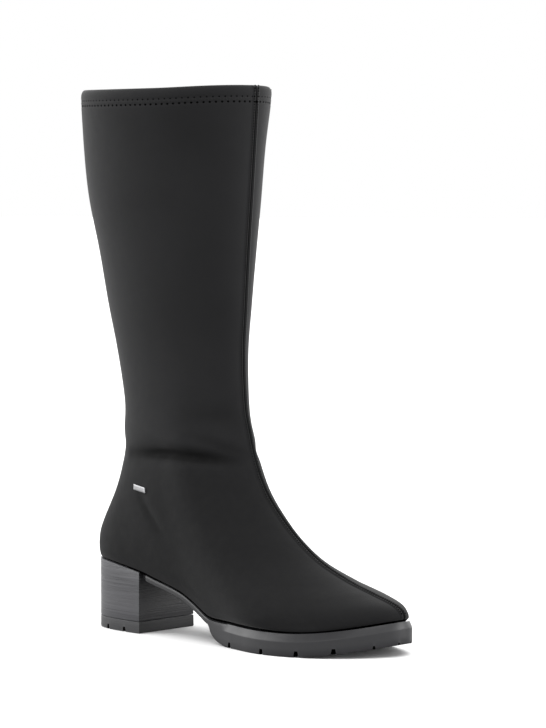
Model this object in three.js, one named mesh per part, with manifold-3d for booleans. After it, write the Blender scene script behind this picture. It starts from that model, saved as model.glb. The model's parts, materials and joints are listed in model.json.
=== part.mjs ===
// Knee-high boot for the right foot, in millimetres.
// +X runs to the toe, +Y to the medial side, +Z up. The origin is the middle of the heel's ground face.
import * as THREE from "three";
import { mergeVertices } from "three/addons/utils/BufferGeometryUtils.js";
import Module from "manifold-3d";

const wasm = await Module();
wasm.setup();

// Driving dimensions of the sole
const sole_length = 262;
const ball_width = 92;
const toe_swing = 6.5;
const heel_length = 56;
const heel_width = 55;
const heel_height = 48.5;
const top_lift_thickness = 8;
const forepart_thickness = 15;
const toe_spring = 8.5;
const waist_thickness = 4.2;
const waist_set_in = 3.5;
const bevel_width = 2.6;
const toe_ledge = 1.6;
const bevel_drop = 4.8;
const seat_ledge = 0.6;
const arris = 0.8;

// Driving dimensions of the upper
const boot_height = 369;
const collar_depth = 147;
const collar_width = 105;
const ankle_height = 139;
const ankle_depth = 109;
const ankle_width = 56;
const upper_wall = 2;
const hem_wall = 3.4;
const hem_height = 13;
const lasting_margin = 8;
const seam_width = 6;
const seam_height = 0.5;
const insole_thickness = 2.2;
const insole_clearance = 3;
const insole_gap = 0.5;

// Driving dimensions of the zip and the tag
const zip_slot_width = 6.4;
const zip_tape_width = 20;
const zip_tape_thickness = 0.8;
const zip_tape_gap = 0.5;
const zip_teeth_width = 4.4;
const zip_teeth_thickness = 1.2;
const zip_foot_height = 80;
const slider_play = 0.45;
const slider_length = 9.5;
const slider_thickness = 0.8;
const slider_below_collar = 10;
const ear_wall = 0.5;
const ear_thickness = 0.7;
const pin_radius = 0.5;
const pin_play = 0.1;
const pull_length = 16;
const pull_thickness = 0.9;
const pull_hole_radius = 1;
const pull_hole_from_end = 2.4;
const tag_width = 12.5;
const tag_height = 4.2;
const tag_thickness = 0.8;
const tag_tilt = 0.12;
const tag_above_floor = 98.8;
const tag_ahead_of_heel = 28.5;

// Running gap between touching pieces
const gap = 0.3;

// Reach of a cutting body past what it cuts
const reach = 5;

const heel_back = -heel_length / 2;
const heel_breast = heel_length / 2;
const toe_tip = heel_back + sole_length;
const past_side = ball_width;
const ball_half = ball_width / 2;
const heel_half = heel_width / 2;

const upper_columns = 56;

// Value at t of the smooth curve through (stations, values), with slopes taken from the neighbours
function curve(stations, values, t) {
  const last = stations.length - 1;
  let i = 0;
  while (i < last - 1 && t > stations[i + 1]) i += 1;
  const slope = (k) => {
    const a = Math.max(k - 1, 0);
    const b = Math.min(k + 1, last);
    return (values[b] - values[a]) / (stations[b] - stations[a]);
  };
  const width = stations[i + 1] - stations[i];
  const s = Math.min(Math.max((t - stations[i]) / width, 0), 1);
  const s2 = s * s;
  const s3 = s2 * s;
  return (2 * s3 - 3 * s2 + 1) * values[i] + (s3 - 2 * s2 + s) * width * slope(i)
    + (3 * s2 - 2 * s3) * values[i + 1] + (s3 - s2) * width * slope(i + 1);
}

const column = (table, name) => table.map((row) => row[name]);
const mix = (a, b, share) => a + (b - a) * share;

// Sole outline. from_toe is a share of the sole's length. lateral and medial are shares of the width
// named in of, before the round ends take theirs; swing is the centre line's share of toe_swing.
const outline_table = [
  { from_toe: 0.00, lateral: 1.16, medial: 0.92, of: ball_half, swing: 1.00 },
  { from_toe: 0.09, lateral: 1.36, medial: 1.01, of: ball_half, swing: 0.80 },
  { from_toe: 0.17, lateral: 1.36, medial: 1.09, of: ball_half, swing: 0.57 },
  { from_toe: 0.30, lateral: 1.18, medial: 0.99, of: ball_half, swing: 0.19 },
  { from_toe: 0.42, lateral: 0.89, medial: 0.82, of: ball_half, swing: 0.00 },
  { from_toe: 0.52, lateral: 1.20, medial: 1.09, of: heel_half, swing: 0.00 },
  { from_toe: 0.66, lateral: 1.10, medial: 1.00, of: heel_half, swing: 0.00 },
  { from_toe: 0.78, lateral: 1.20, medial: 1.20, of: heel_half, swing: 0.00 },
  { from_toe: 0.90, lateral: 1.39, medial: 1.39, of: heel_half, swing: 0.00 },
  { from_toe: 1.00, lateral: 1.62, medial: 1.62, of: heel_half, swing: 0.00 },
];

// Feather line, where upper and sole meet. along is a share of the sole's length from the heel's back,
// rise a share of the height between forepart and heel seat.
const feather_table = [
  { along: 0.000, rise: 1.000 },
  { along: 0.107, rise: 0.935 },
  { along: 0.218, rise: 0.800 },
  { along: 0.268, rise: 0.695 },
  { along: 0.307, rise: 0.615 },
  { along: 0.368, rise: 0.475 },
  { along: 0.409, rise: 0.325 },
  { along: 0.439, rise: 0.195 },
  { along: 0.465, rise: 0.085 },
  { along: 0.490, rise: 0.038 },
  { along: 0.540, rise: 0.020 },
  { along: 0.620, rise: 0.000 },
  { along: 1.000, rise: 0.000 },
];

const spring_start = 0.75;

const along = (x) => (x - heel_back) / sole_length;

// Height of the sole's underside above the floor: flat under the ball, rising to the toe
function springAt(x) {
  const past = Math.max(along(x) - spring_start, 0) / (1 - spring_start);
  return toe_spring * past * past;
}

function featherAt(x) {
  const rise = curve(column(feather_table, "along"), column(feather_table, "rise"), along(x));
  return forepart_thickness + rise * (heel_height - forepart_thickness) + springAt(x);
}

// Point of the sole's outline at the angle turn, which is 0 at the toe and a quarter turn medial
function outlineAt(turn) {
  const from_toe = (1 - Math.cos(turn)) / 2;
  const stations = column(outline_table, "from_toe");
  const side = Math.sin(turn) < 0 ? "lateral" : "medial";
  const half = curve(stations, outline_table.map((row) => row[side] * row.of), from_toe);
  const swing = toe_swing * curve(stations, column(outline_table, "swing"), from_toe);
  return new THREE.Vector2(mix(toe_tip, heel_back, from_toe), swing + half * Math.sin(turn));
}

const nudge = 1e-3;

// The outline moved inwards by inset, square to itself
function insetAt(turn, inset) {
  const tangent = outlineAt(turn + nudge).sub(outlineAt(turn - nudge)).normalize();
  return outlineAt(turn).add(new THREE.Vector2(-tangent.y, tangent.x).multiplyScalar(inset));
}

// The upper stands in from the sole's edge by the bevel, which narrows at the toe, and by a narrow ledge
// round the heel seat
function ledgeAt(turn) {
  const from_toe = (1 - Math.cos(turn)) / 2;
  const forepart = mix(toe_ledge, bevel_width, THREE.MathUtils.smoothstep(from_toe, 0, 0.12));
  return mix(forepart, seat_ledge, THREE.MathUtils.smoothstep(from_toe, 0.6, 0.78));
}

// Rings of the upper from the feather line to the ankle. front and back say how far each end has gone
// from its place on the feather line to its place at the ankle, lengthwise (x) and in height (z).
// tip to back are half widths as shares of half the ball width, with the instep's steeper medial side
// in its own two columns; follow is how much the ring keeps of the sole's swing and arch.
const foot_rings = [
  { back_x: 0.00, back_z: 0.00, front_x: 0.00, front_z: 0.00, follow: 1.00,
    tip: 1.08, ball: 1.02, tip_medial: 1.04, ball_medial: 1.02, waist: 0.62, seat: 0.71, back: 1.02 },
  { back_x: -0.05, back_z: 0.07, front_x: 0.015, front_z: 0.045, follow: 0.95,
    tip: 1.08, ball: 1.07, tip_medial: 1.05, ball_medial: 1.07, waist: 0.67, seat: 0.745, back: 1.02 },
  { back_x: -0.065, back_z: 0.14, front_x: 0.070, front_z: 0.085, follow: 0.86,
    tip: 1.06, ball: 1.065, tip_medial: 1.26, ball_medial: 1.01, waist: 0.69, seat: 0.75, back: 0.97 },
  { back_x: -0.03, back_z: 0.21, front_x: 0.190, front_z: 0.130, follow: 0.72,
    tip: 1.02, ball: 1.02, tip_medial: 1.34, ball_medial: 0.91, waist: 0.70, seat: 0.74, back: 0.91 },
  { back_x: 0.10, back_z: 0.29, front_x: 0.355, front_z: 0.193, follow: 0.57,
    tip: 0.96, ball: 0.95, tip_medial: 1.08, ball_medial: 0.85, waist: 0.70, seat: 0.72, back: 0.84 },
  { back_x: 0.29, back_z: 0.38, front_x: 0.530, front_z: 0.284, follow: 0.43,
    tip: 0.89, ball: 0.88, tip_medial: 0.74, ball_medial: 0.80, waist: 0.69, seat: 0.695, back: 0.77 },
  { back_x: 0.50, back_z: 0.475, front_x: 0.670, front_z: 0.397, follow: 0.31,
    tip: 0.80, ball: 0.82, tip_medial: 0.58, ball_medial: 0.76, waist: 0.68, seat: 0.67, back: 0.71 },
  { back_x: 0.70, back_z: 0.58, front_x: 0.790, front_z: 0.525, follow: 0.21,
    tip: 0.69, ball: 0.77, tip_medial: 0.56, ball_medial: 0.73, waist: 0.66, seat: 0.645, back: 0.66 },
  { back_x: 0.875, back_z: 0.70, front_x: 0.890, front_z: 0.665, follow: 0.12,
    tip: 0.58, ball: 0.73, tip_medial: 0.55, ball_medial: 0.71, waist: 0.64, seat: 0.625, back: 0.63 },
  { back_x: 1.02, back_z: 0.84, front_x: 0.958, front_z: 0.830, follow: 0.05,
    tip: 0.49, ball: 0.69, tip_medial: 0.52, ball_medial: 0.68, waist: 0.62, seat: 0.61, back: 0.61 },
];

// Rings of the shaft. height is the share of the way from ankle to collar, depth and width the shares
// of the change in those two sizes, lean the centre's distance from the heel's middle as a share of
// collar_depth, and tip the front's half width as a share of the ring's.
const shaft_rings = [
  { height: 0.000, depth: 0.00, width: 0.00, lean: 0.336, tip: 0.75 },
  { height: 0.083, depth: -0.09, width: -0.08, lean: 0.320, tip: 0.90 },
  { height: 0.230, depth: 0.04, width: -0.04, lean: 0.292, tip: 1.00 },
  { height: 0.378, depth: 0.29, width: 0.17, lean: 0.273, tip: 1.00 },
  { height: 0.526, depth: 0.51, width: 0.40, lean: 0.259, tip: 1.00 },
  { height: 0.674, depth: 0.76, width: 0.60, lean: 0.245, tip: 1.00 },
  { height: 0.820, depth: 0.92, width: 0.75, lean: 0.242, tip: 1.00 },
  { height: 0.940, depth: 0.98, width: 0.96, lean: 0.248, tip: 1.00 },
  { height: 1.000, depth: 1.00, width: 1.00, lean: 0.251, tip: 1.00 },
];

const width_names = ["tip", "ball", "tip_medial", "ball_medial", "waist", "seat", "back"];
const width_stations = [0, 0.3, 0.55, 0.8, 1];
const end_names = ["back_x", "back_z", "front_x", "front_z"];

const feather_front = insetAt(0, ledgeAt(0)).x;
const feather_back = insetAt(Math.PI, ledgeAt(Math.PI)).x;
const feather_front_z = featherAt(feather_front);
const feather_back_z = featherAt(feather_back);
const ankle_center = shaft_rings[0].lean * collar_depth;

const foot_rows = foot_rings.map((row) => ({
  back_x: mix(feather_back, ankle_center - ankle_depth / 2, row.back_x),
  back_z: mix(feather_back_z, ankle_height, row.back_z),
  front_x: mix(feather_front, ankle_center + ankle_depth / 2, row.front_x),
  front_z: mix(feather_front_z, ankle_height, row.front_z),
  follow: row.follow,
  ...Object.fromEntries(width_names.map((name) => [name, row[name] * ball_half])),
}));

const shaft_rows = shaft_rings.map((row) => {
  const z = mix(ankle_height, boot_height, row.height);
  const half_depth = mix(ankle_depth, collar_depth, row.depth) / 2;
  const half_width = mix(ankle_width, collar_width, row.width) / 2;
  const center = row.lean * collar_depth;
  return {
    back_x: center - half_depth,
    back_z: z,
    front_x: center + half_depth,
    front_z: z,
    follow: 0,
    tip: row.tip * half_width,
    ball: half_width,
    tip_medial: row.tip * half_width,
    ball_medial: half_width,
    waist: half_width,
    seat: half_width,
    back: half_width,
  };
});

const rows = [...foot_rows, ...shaft_rows];
const row_numbers = rows.map((row, number) => number);
const top_level = rows.length - 1;

// The ring at level, a row number that may lie between two rows
function ringAt(level) {
  const ring = {};
  for (const name of [...end_names, ...width_names, "follow"]) {
    ring[name] = curve(row_numbers, column(rows, name), level);
  }
  return ring;
}

// Middle between the sole's two edges, and how far the feather line sags below a straight line
function centerAt(from_toe) {
  const turn = Math.acos(1 - 2 * from_toe);
  return (outlineAt(turn).y + outlineAt(-turn).y) / 2;
}

function sagAt(from_toe) {
  const x = mix(feather_front, feather_back, from_toe);
  return featherAt(x) - mix(feather_front_z, feather_back_z, from_toe);
}

// Point of the upper's outer face at a level and an angle round the ring, without the seam
function outerAt(level, turn) {
  const from_front = (1 - Math.cos(turn)) / 2;
  const ring = ringAt(level);
  const front = Math.sin(turn) < 0 ? [ring.tip, ring.ball] : [ring.tip_medial, ring.ball_medial];
  const half = curve(width_stations, [...front, ring.waist, ring.seat, ring.back], from_front);
  const x = mix(ring.front_x, ring.back_x, from_front);
  const y = ring.follow * centerAt(from_front) + half * Math.sin(turn);
  const z = mix(ring.front_z, ring.back_z, from_front) + ring.follow * sagAt(from_front);
  const free = new THREE.Vector3(x, y, z);
  if (level >= 1) return free;
  const edge = insetAt(turn, ledgeAt(turn));
  const on_edge = new THREE.Vector3(edge.x, edge.y, featherAt(edge.x));
  return on_edge.lerp(free, THREE.MathUtils.smoothstep(level, 0, 1));
}

function frameAt(level, turn) {
  const point = outerAt(level, turn);
  const low = Math.max(level - 0.02, 0);
  const high = Math.min(level + 0.02, top_level);
  const up = outerAt(high, turn).sub(outerAt(low, turn)).normalize();
  const round = outerAt(level, turn + nudge).sub(outerAt(level, turn - nudge));
  const pace = round.length() / (2 * nudge);
  round.normalize();
  return { point, up, round, pace, out: round.clone().cross(up).normalize() };
}

// The point moved by lift along the outward normal
function liftedAt(level, turn, lift) {
  const frame = frameAt(level, turn);
  return frame.point.addScaledVector(frame.out, lift);
}

// Wall thickness: the hem is turned in and doubled
function wallAt(level) {
  const below = boot_height - ringAt(level).front_z;
  return below < hem_height ? hem_wall : upper_wall;
}

// Level of the height z on the line at turn
function levelOf(z, turn) {
  let low = 0;
  let high = top_level;
  for (let pass = 0; pass < 40; pass += 1) {
    const middle = (low + high) / 2;
    if (outerAt(middle, turn).z < z) low = middle;
    else high = middle;
  }
  return (low + high) / 2;
}

// A closed body from points and triangles, turned so that its faces point out
function closedBody(points, triangles) {
  let volume = 0;
  for (const [a, b, c] of triangles) volume += points[a].dot(points[b].clone().cross(points[c]));
  const faces = volume < 0 ? triangles.map(([a, b, c]) => [a, c, b]) : triangles;
  const geometry = new THREE.BufferGeometry();
  geometry.setAttribute("position", new THREE.Float32BufferAttribute(points.flatMap((p) => p.toArray()), 3));
  geometry.setIndex(faces.flat());
  return geometry;
}

// Skin over a stack of rings of equal length. With wrap the last ring joins the first; otherwise each
// end is closed by strips between the points that lie opposite each other on its two sides.
function stackedRings(rings, wrap = false) {
  const count = rings[0].length;
  const triangles = [];
  const bands = wrap ? rings.length : rings.length - 1;
  for (let r = 0; r < bands; r += 1) {
    const here = r * count;
    const next = ((r + 1) % rings.length) * count;
    for (let i = 0; i < count; i += 1) {
      const j = (i + 1) % count;
      triangles.push([here + i, here + j, next + j], [here + i, next + j, next + i]);
    }
  }
  if (!wrap) {
    const strips = (first, flip) => {
      for (let i = 0; i < count / 2; i += 1) {
        const a = first + i;
        const b = first + i + 1;
        const c = first + (count - i - 1) % count;
        const d = first + (count - i) % count;
        const faces = [[a, b, c], [a, c, d]].filter((face) => new Set(face).size === 3);
        for (const [p, q, s] of faces) triangles.push(flip ? [p, q, s] : [p, s, q]);
      }
    };
    strips(0, false);
    strips((rings.length - 1) * count, true);
  }
  return closedBody(rings.flat(), triangles);
}

function toSolid(geometry) {
  const bare = geometry.clone();
  for (const name of ["normal", "uv"]) bare.deleteAttribute(name);
  const merged = mergeVertices(bare, 1e-4);
  return new wasm.Manifold(new wasm.Mesh({
    numProp: 3,
    vertProperties: new Float32Array(merged.attributes.position.array),
    triVerts: new Uint32Array(merged.index.array),
  }));
}

function toGeometry(solid) {
  const mesh = solid.getMesh();
  const geometry = new THREE.BufferGeometry();
  geometry.setAttribute("position", new THREE.BufferAttribute(mesh.vertProperties.slice(), 3));
  geometry.setIndex(new THREE.BufferAttribute(mesh.triVerts.slice(), 1));
  return geometry;
}

function box(low, high) {
  const size = high.clone().sub(low);
  const middle = low.clone().add(high).multiplyScalar(0.5);
  return toSolid(new THREE.BoxGeometry(size.x, size.y, size.z).translate(middle.x, middle.y, middle.z));
}

// Raised centre-front seam: across is the distance from the centre line as a share of half its width,
// height the share of its height
const seam_profile = [
  { across: 0.00, height: -0.2 },
  { across: 0.22, height: 0.8 },
  { across: 0.75, height: 1.0 },
  { across: 1.00, height: 0.0 },
];

// Angles of a ring's columns: the seam's own columns, then even steps round the back
function upperColumns(level) {
  const ring = ringAt(level);
  const half_seam = (front_half) => seam_profile.map((row) => ({
    turn: Math.asin((row.across * seam_width) / 2 / front_half),
    lift: row.height * seam_height,
  }));
  const medial = half_seam(ring.tip_medial);
  const lateral = half_seam(ring.tip).slice(1).reverse();
  const first = medial[medial.length - 1].turn;
  const last = 2 * Math.PI - lateral[0].turn;
  const plain = [];
  for (let i = 1; i < upper_columns; i += 1) {
    plain.push({ turn: mix(first, last, i / upper_columns), lift: 0 });
  }
  return [...medial, ...plain, ...lateral.map((c) => ({ turn: 2 * Math.PI - c.turn, lift: c.lift }))];
}

// Levels of the upper's rows: two to a ring in the foot, one in the shaft, and one at the hem's foot
const hem_level = levelOf(boot_height - hem_height, 0);
const rim_level = levelOf(boot_height - arris, 0);
const ankle_level = foot_rows.length;
const half_levels = row_numbers.slice(0, ankle_level).map((level) => level + 0.5);
const upper_levels = [...row_numbers, ...half_levels, hem_level]
  .filter((level) => level === hem_level || Math.abs(level - hem_level) > 0.3)
  .sort((a, b) => a - b);
const hem_step = 0.05;

// The upper: one wall from the feather line to the collar, its hem turned in at the top and its lasting
// margin turned in under the foot
function makeUpper() {
  const rowAt = (level, lift) => upperColumns(level).map((c) => liftedAt(level, c.turn, lift(c)));
  const outer = upper_levels.slice(0, -1).map((level) => rowAt(level, (c) => (level < 0.5 ? 0 : c.lift)));
  outer.push(rowAt(rim_level, (c) => c.lift), rowAt(top_level, () => -arris));

  const inner_levels = upper_levels.filter((level) => level >= 1 && level !== hem_level);
  inner_levels.push(hem_level - hem_step, hem_level + hem_step);
  inner_levels.sort((a, b) => b - a);
  const inner = inner_levels.map((level) => rowAt(level, () => -wallAt(level)));

  const margin = (inset, rise) => upperColumns(0).map((c) => {
    const edge = insetAt(c.turn, ledgeAt(c.turn) + inset);
    return new THREE.Vector3(edge.x, edge.y, featherAt(edge.x) + rise);
  });
  const turned_in = [
    margin(upper_wall, upper_wall),
    margin(lasting_margin, upper_wall),
    margin(lasting_margin, 0),
  ];
  return toSolid(stackedRings([...outer, ...inner, ...turned_in], true));
}

// Zip line: height as a share of boot_height, and degrees round from the centre front
const zip_line = [
  { height: 0.20, degrees: 86 },
  { height: 0.27, degrees: 82 },
  { height: 0.38, degrees: 76 },
  { height: 0.50, degrees: 73 },
  { height: 0.60, degrees: 69 },
  { height: 0.70, degrees: 64 },
  { height: 0.80, degrees: 58 },
  { height: 0.90, degrees: 52 },
  { height: 1.00, degrees: 46 },
];

function zipTurn(z) {
  const degrees = curve(column(zip_line, "height"), column(zip_line, "degrees"), z / boot_height);
  return THREE.MathUtils.degToRad(degrees);
}

// Stops along the zip between two heights: its ends and the upper's rows between them
function zipPath(low, high) {
  const stops = [low, high].map((z) => ({ level: levelOf(z, zipTurn(z)), turn: zipTurn(z) }));
  for (const level of upper_levels) {
    if (level > stops[0].level + 0.1 && level < stops[1].level - 0.1) {
      let turn = zipTurn(ringAt(level).front_z);
      for (let pass = 0; pass < 5; pass += 1) turn = zipTurn(outerAt(level, turn).z);
      stops.push({ level, turn });
    }
  }
  return stops.sort((a, b) => a.level - b.level);
}

// A strip that follows the upper's face: across lists distances from the path, over and under are the
// lifts of its two faces
function strip(path, across, over, under) {
  return path.map((stop) => {
    const pace = frameAt(stop.level, stop.turn).pace;
    const at = (distance, lift) => liftedAt(stop.level, stop.turn + distance / pace, lift(stop.level));
    return [
      ...across.map((distance) => at(distance, over)),
      ...across.slice().reverse().map((distance) => at(distance, under)),
    ];
  });
}

const halves = (width, count) => Array.from({ length: count + 1 }, (unused, i) => width * (i / count - 0.5));

// Closed body over a strip's rings. The second half of each ring runs back beneath the first.
function stripSolid(rings) {
  const count = rings[0].length;
  const triangles = [];
  for (let r = 0; r < rings.length - 1; r += 1) {
    for (let i = 0; i < count; i += 1) {
      const j = (i + 1) % count;
      const here = r * count;
      const next = here + count;
      triangles.push([here + i, here + j, next + j], [here + i, next + j, next + i]);
    }
  }
  for (const [first, flip] of [[0, false], [(rings.length - 1) * count, true]]) {
    for (let i = 0; i < count / 2 - 1; i += 1) {
      const quad = [first + i, first + i + 1, first + count - 2 - i, first + count - 1 - i];
      const faces = [[quad[0], quad[1], quad[2]], [quad[0], quad[2], quad[3]]];
      for (const [p, q, s] of faces) triangles.push(flip ? [p, q, s] : [p, s, q]);
    }
  }
  return toSolid(closedBody(rings.flat(), triangles));
}

// The slot that the zip closes, open at the collar
function zipSlot() {
  const path = zipPath(zip_foot_height, boot_height);
  const rings = strip(path, halves(zip_slot_width, 2), () => reach, () => -hem_wall - reach);
  const past = rings[rings.length - 1].map((p) => p.clone().setZ(boot_height + reach));
  return stripSolid([...rings, past]);
}

function makeZipTape() {
  const stops = zipPath(zip_foot_height - zip_slot_width, boot_height - arris);
  const turn = zipTurn(boot_height - hem_height);
  stops.push({ level: hem_level - 2 * hem_step, turn });
  stops.sort((a, b) => a.level - b.level);
  const depth = (level) => zip_tape_gap + (level > hem_level - 1.5 * hem_step ? hem_wall : upper_wall);
  return stripSolid(strip(stops, halves(zip_tape_width, 4),
    (level) => -depth(level), (level) => -depth(level) - zip_tape_thickness));
}

function makeZipTeeth() {
  const path = zipPath(zip_foot_height + gap, boot_height - arris);
  return stripSolid(strip(path, halves(zip_teeth_width, 2),
    () => zip_teeth_thickness - upper_wall, () => -upper_wall));
}

const foot_turns = upperColumns(0).map((c) => c.turn);

// One ring of the sole's outline, with the same columns as the upper above it
function outlineRing(inset, height) {
  return foot_turns.map((turn) => {
    const edge = insetAt(turn, inset(turn));
    return new THREE.Vector3(edge.x, edge.y, height(edge.x));
  });
}

// Space under the waist. Its front foot and its bend are shares of the sole's length from the heel's
// back; the roof stops short of the bend, and the bend's two handles set how steep the breast is.
const arch_foot = 0.56;
const arch_bend = 0.485;
const arch_roof_short = 3.5;
const arch_upper_handle = 4;
const arch_lower_handle = { back: 2, up: 2.2 };
const arch_roof_steps = 10;

// A prism across the sole, its roof a waist's thickness below the feather line
function archSpace() {
  const foot = heel_back + sole_length * arch_foot;
  const bend = heel_back + sole_length * arch_bend;
  const roof_end = bend - arch_roof_short;
  const roofAt = (x) => featherAt(x) - waist_thickness;
  const shape = new THREE.Shape();
  shape.moveTo(heel_breast - reach, -reach);
  shape.lineTo(heel_breast - reach, roofAt(heel_breast));
  for (let i = 0; i <= arch_roof_steps; i += 1) {
    const x = mix(heel_breast, roof_end, i / arch_roof_steps);
    shape.lineTo(x, roofAt(x));
  }
  shape.bezierCurveTo(bend, roofAt(roof_end) - arch_upper_handle,
    bend - arch_lower_handle.back, arch_lower_handle.up, foot, 0);
  shape.lineTo(foot, -reach);
  const depth = 2 * past_side;
  const prism = new THREE.ExtrudeGeometry(shape, { depth, bevelEnabled: false, curveSegments: 8 });
  prism.rotateX(Math.PI / 2).translate(0, past_side, 0);
  return toSolid(prism);
}

const notch_width = 4.2;
const notch_top = 2.6;
const notch_height = 3.8;
const notch_depth = 9;

// Tread notches: from_toe is a share of the sole's length, size scales the notch
const sole_notches = [
  { from_toe: 0.430, size: 1.0 },
  { from_toe: 0.294, size: 1.0 },
  { from_toe: 0.191, size: 1.0 },
  { from_toe: 0.106, size: 1.0 },
  { from_toe: 0.036, size: 0.55 },
  { from_toe: 0.004, size: 0.4 },
];
const heel_notches = [{ from_toe: 0.846, size: 0.9 }, { from_toe: 0.919, size: 0.9 }];

// A trapezoid channel cut into the edge at turn, square to the outline
function notch(turn, size) {
  const at = outlineAt(turn);
  const inward = insetAt(turn, 1).sub(at);
  const floor = springAt(at.x);
  const shape = new THREE.Shape();
  shape.moveTo(-notch_width * size, -reach);
  shape.lineTo((-notch_width * size) / 2, 0);
  shape.lineTo((-notch_top * size) / 2, notch_height * size);
  shape.lineTo((notch_top * size) / 2, notch_height * size);
  shape.lineTo((notch_width * size) / 2, 0);
  shape.lineTo(notch_width * size, -reach);
  const depth = notch_depth + reach;
  const prism = new THREE.ExtrudeGeometry(shape, { depth, bevelEnabled: false });
  prism.rotateX(Math.PI / 2);
  prism.rotateZ(Math.atan2(inward.y, inward.x) - Math.PI / 2);
  prism.translate(at.x + inward.x * notch_depth, at.y + inward.y * notch_depth, floor);
  return toSolid(prism);
}

function withNotches(solid, table) {
  let cut = solid;
  for (const row of table) {
    const turn = Math.acos(1 - 2 * row.from_toe);
    cut = cut.subtract(notch(turn, row.size)).subtract(notch(-turn, row.size));
  }
  return cut;
}

const full = () => 0;
const rounded = () => arris;

// How far the waist is drawn in from the outline as it nears the heel
function waistIn(turn) {
  const from_toe = (1 - Math.cos(turn)) / 2;
  return waist_set_in * THREE.MathUtils.smoothstep(from_toe, 0.70, 0.77);
}

// Outsole: a bevelled edge all round, cut square where the heel butts against it, arched under the waist
function makeOutsole() {
  const rings = [
    outlineRing((turn) => ledgeAt(turn) + waistIn(turn), (x) => featherAt(x) - gap),
    outlineRing(waistIn, (x) => featherAt(x) - gap - bevel_drop),
    outlineRing(waistIn, (x) => springAt(x) + arris),
    outlineRing((turn) => arris + waistIn(turn), springAt),
  ];
  const behind = box(new THREE.Vector3(heel_back - reach, -past_side, -reach),
    new THREE.Vector3(heel_breast + gap, past_side, heel_height + reach));
  const body = toSolid(stackedRings(rings)).subtract(behind).subtract(archSpace());
  return withNotches(body, sole_notches);
}

// Everything ahead of the heel's breast
const ahead = () => box(new THREE.Vector3(heel_breast, -past_side, -reach),
  new THREE.Vector3(toe_tip + reach, past_side, heel_height + reach));

function makeHeel() {
  const rings = [
    outlineRing(full, (x) => featherAt(x) - gap),
    outlineRing(full, () => top_lift_thickness + gap),
  ];
  return toSolid(stackedRings(rings)).subtract(ahead());
}

function makeTopLift() {
  const rings = [
    outlineRing(full, () => top_lift_thickness),
    outlineRing(full, () => arris),
    outlineRing(rounded, () => 0),
  ];
  return withNotches(toSolid(stackedRings(rings)).subtract(ahead()), heel_notches);
}

function makeInsole() {
  const inset = (turn) => ledgeAt(turn) + upper_wall + insole_clearance;
  const low = upper_wall + insole_gap;
  return toSolid(stackedRings([
    outlineRing(inset, (x) => featherAt(x) + low + insole_thickness),
    outlineRing(inset, (x) => featherAt(x) + low),
  ]));
}

// Plain metal tag on the lateral side of the ankle, bent to the upper's face and tilted down to the toe
function makeTag() {
  let turn = -Math.PI / 2;
  for (let pass = 0; pass < 20; pass += 1) {
    const frame = frameAt(levelOf(tag_above_floor, turn), turn);
    turn += (tag_ahead_of_heel - frame.point.x) / (frame.round.x * frame.pace);
  }
  const middle = frameAt(levelOf(tag_above_floor, turn), turn);
  const across = halves(tag_width, 3);
  const rings = halves(tag_height, 1).map((rise) => {
    const side = (lift) => across.map((distance) => {
      const at = turn + distance / middle.pace;
      return liftedAt(levelOf(tag_above_floor + rise - tag_tilt * distance, at), at, lift);
    });
    return [...side(gap + tag_thickness), ...side(gap).reverse()];
  });
  return stripSolid(rings);
}

// Slider and pull tab lie in the slot, just clear of the teeth. They share one frame: out from the
// face, up along the zip, and the hinge axis square to both, at the slider's lower end.
const slider_z = boot_height - slider_below_collar;
const zipPoint = (z) => outerAt(levelOf(z, zipTurn(z)), zipTurn(z));
const slider_point = zipPoint(slider_z);
const zip_up = zipPoint(slider_z - pull_length).sub(slider_point).normalize().negate();
const slider_out = frameAt(levelOf(slider_z, zipTurn(slider_z)), zipTurn(slider_z)).out;
const hinge_axis = slider_out.clone().cross(zip_up).normalize();
const out = zip_up.clone().cross(hinge_axis);
const slider_width = zip_slot_width - 2 * slider_play;
const pull_width = slider_width - 2 * (ear_thickness + gap);
const slider_lift = zip_teeth_thickness - upper_wall + slider_play;
const hinge_below = slider_length / 2 + gap + pin_radius;
const hinge_point = slider_point.clone().addScaledVector(zip_up, -hinge_below)
  .addScaledVector(out, slider_lift + pull_thickness / 2);
const round_segments = 12;

// Solid from a geometry drawn with x along the axis, y outwards and z up, set at a place
function placed(geometry, place) {
  const matrix = new THREE.Matrix4().makeBasis(hinge_axis, out, zip_up).setPosition(place);
  return toSolid(geometry.applyMatrix4(matrix));
}

// A plate with an ear on each side of the tab, bored for the tab's pin
function makeSlider() {
  const at = (geometry) => placed(geometry, slider_point);
  let body = at(new THREE.BoxGeometry(slider_width, slider_thickness, slider_length)
    .translate(0, slider_lift + slider_thickness / 2, 0));
  const bore_radius = pin_radius + pin_play;
  const ear_offset = (slider_width - ear_thickness) / 2;
  const ear_top = slider_lift + pull_thickness / 2 + bore_radius + ear_wall;
  const ear_low = -hinge_below - bore_radius - ear_wall;
  const ear_high = -slider_length / 2 + pull_width / 2;
  for (const side of [-1, 1]) {
    body = body.add(at(new THREE.BoxGeometry(ear_thickness, ear_top - slider_lift, ear_high - ear_low)
      .translate(side * ear_offset, (ear_top + slider_lift) / 2, (ear_high + ear_low) / 2)));
  }
  const bore = new THREE.CylinderGeometry(bore_radius, bore_radius, 2 * slider_width, round_segments);
  return body.subtract(placed(bore.rotateZ(Math.PI / 2), hinge_point));
}

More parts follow.
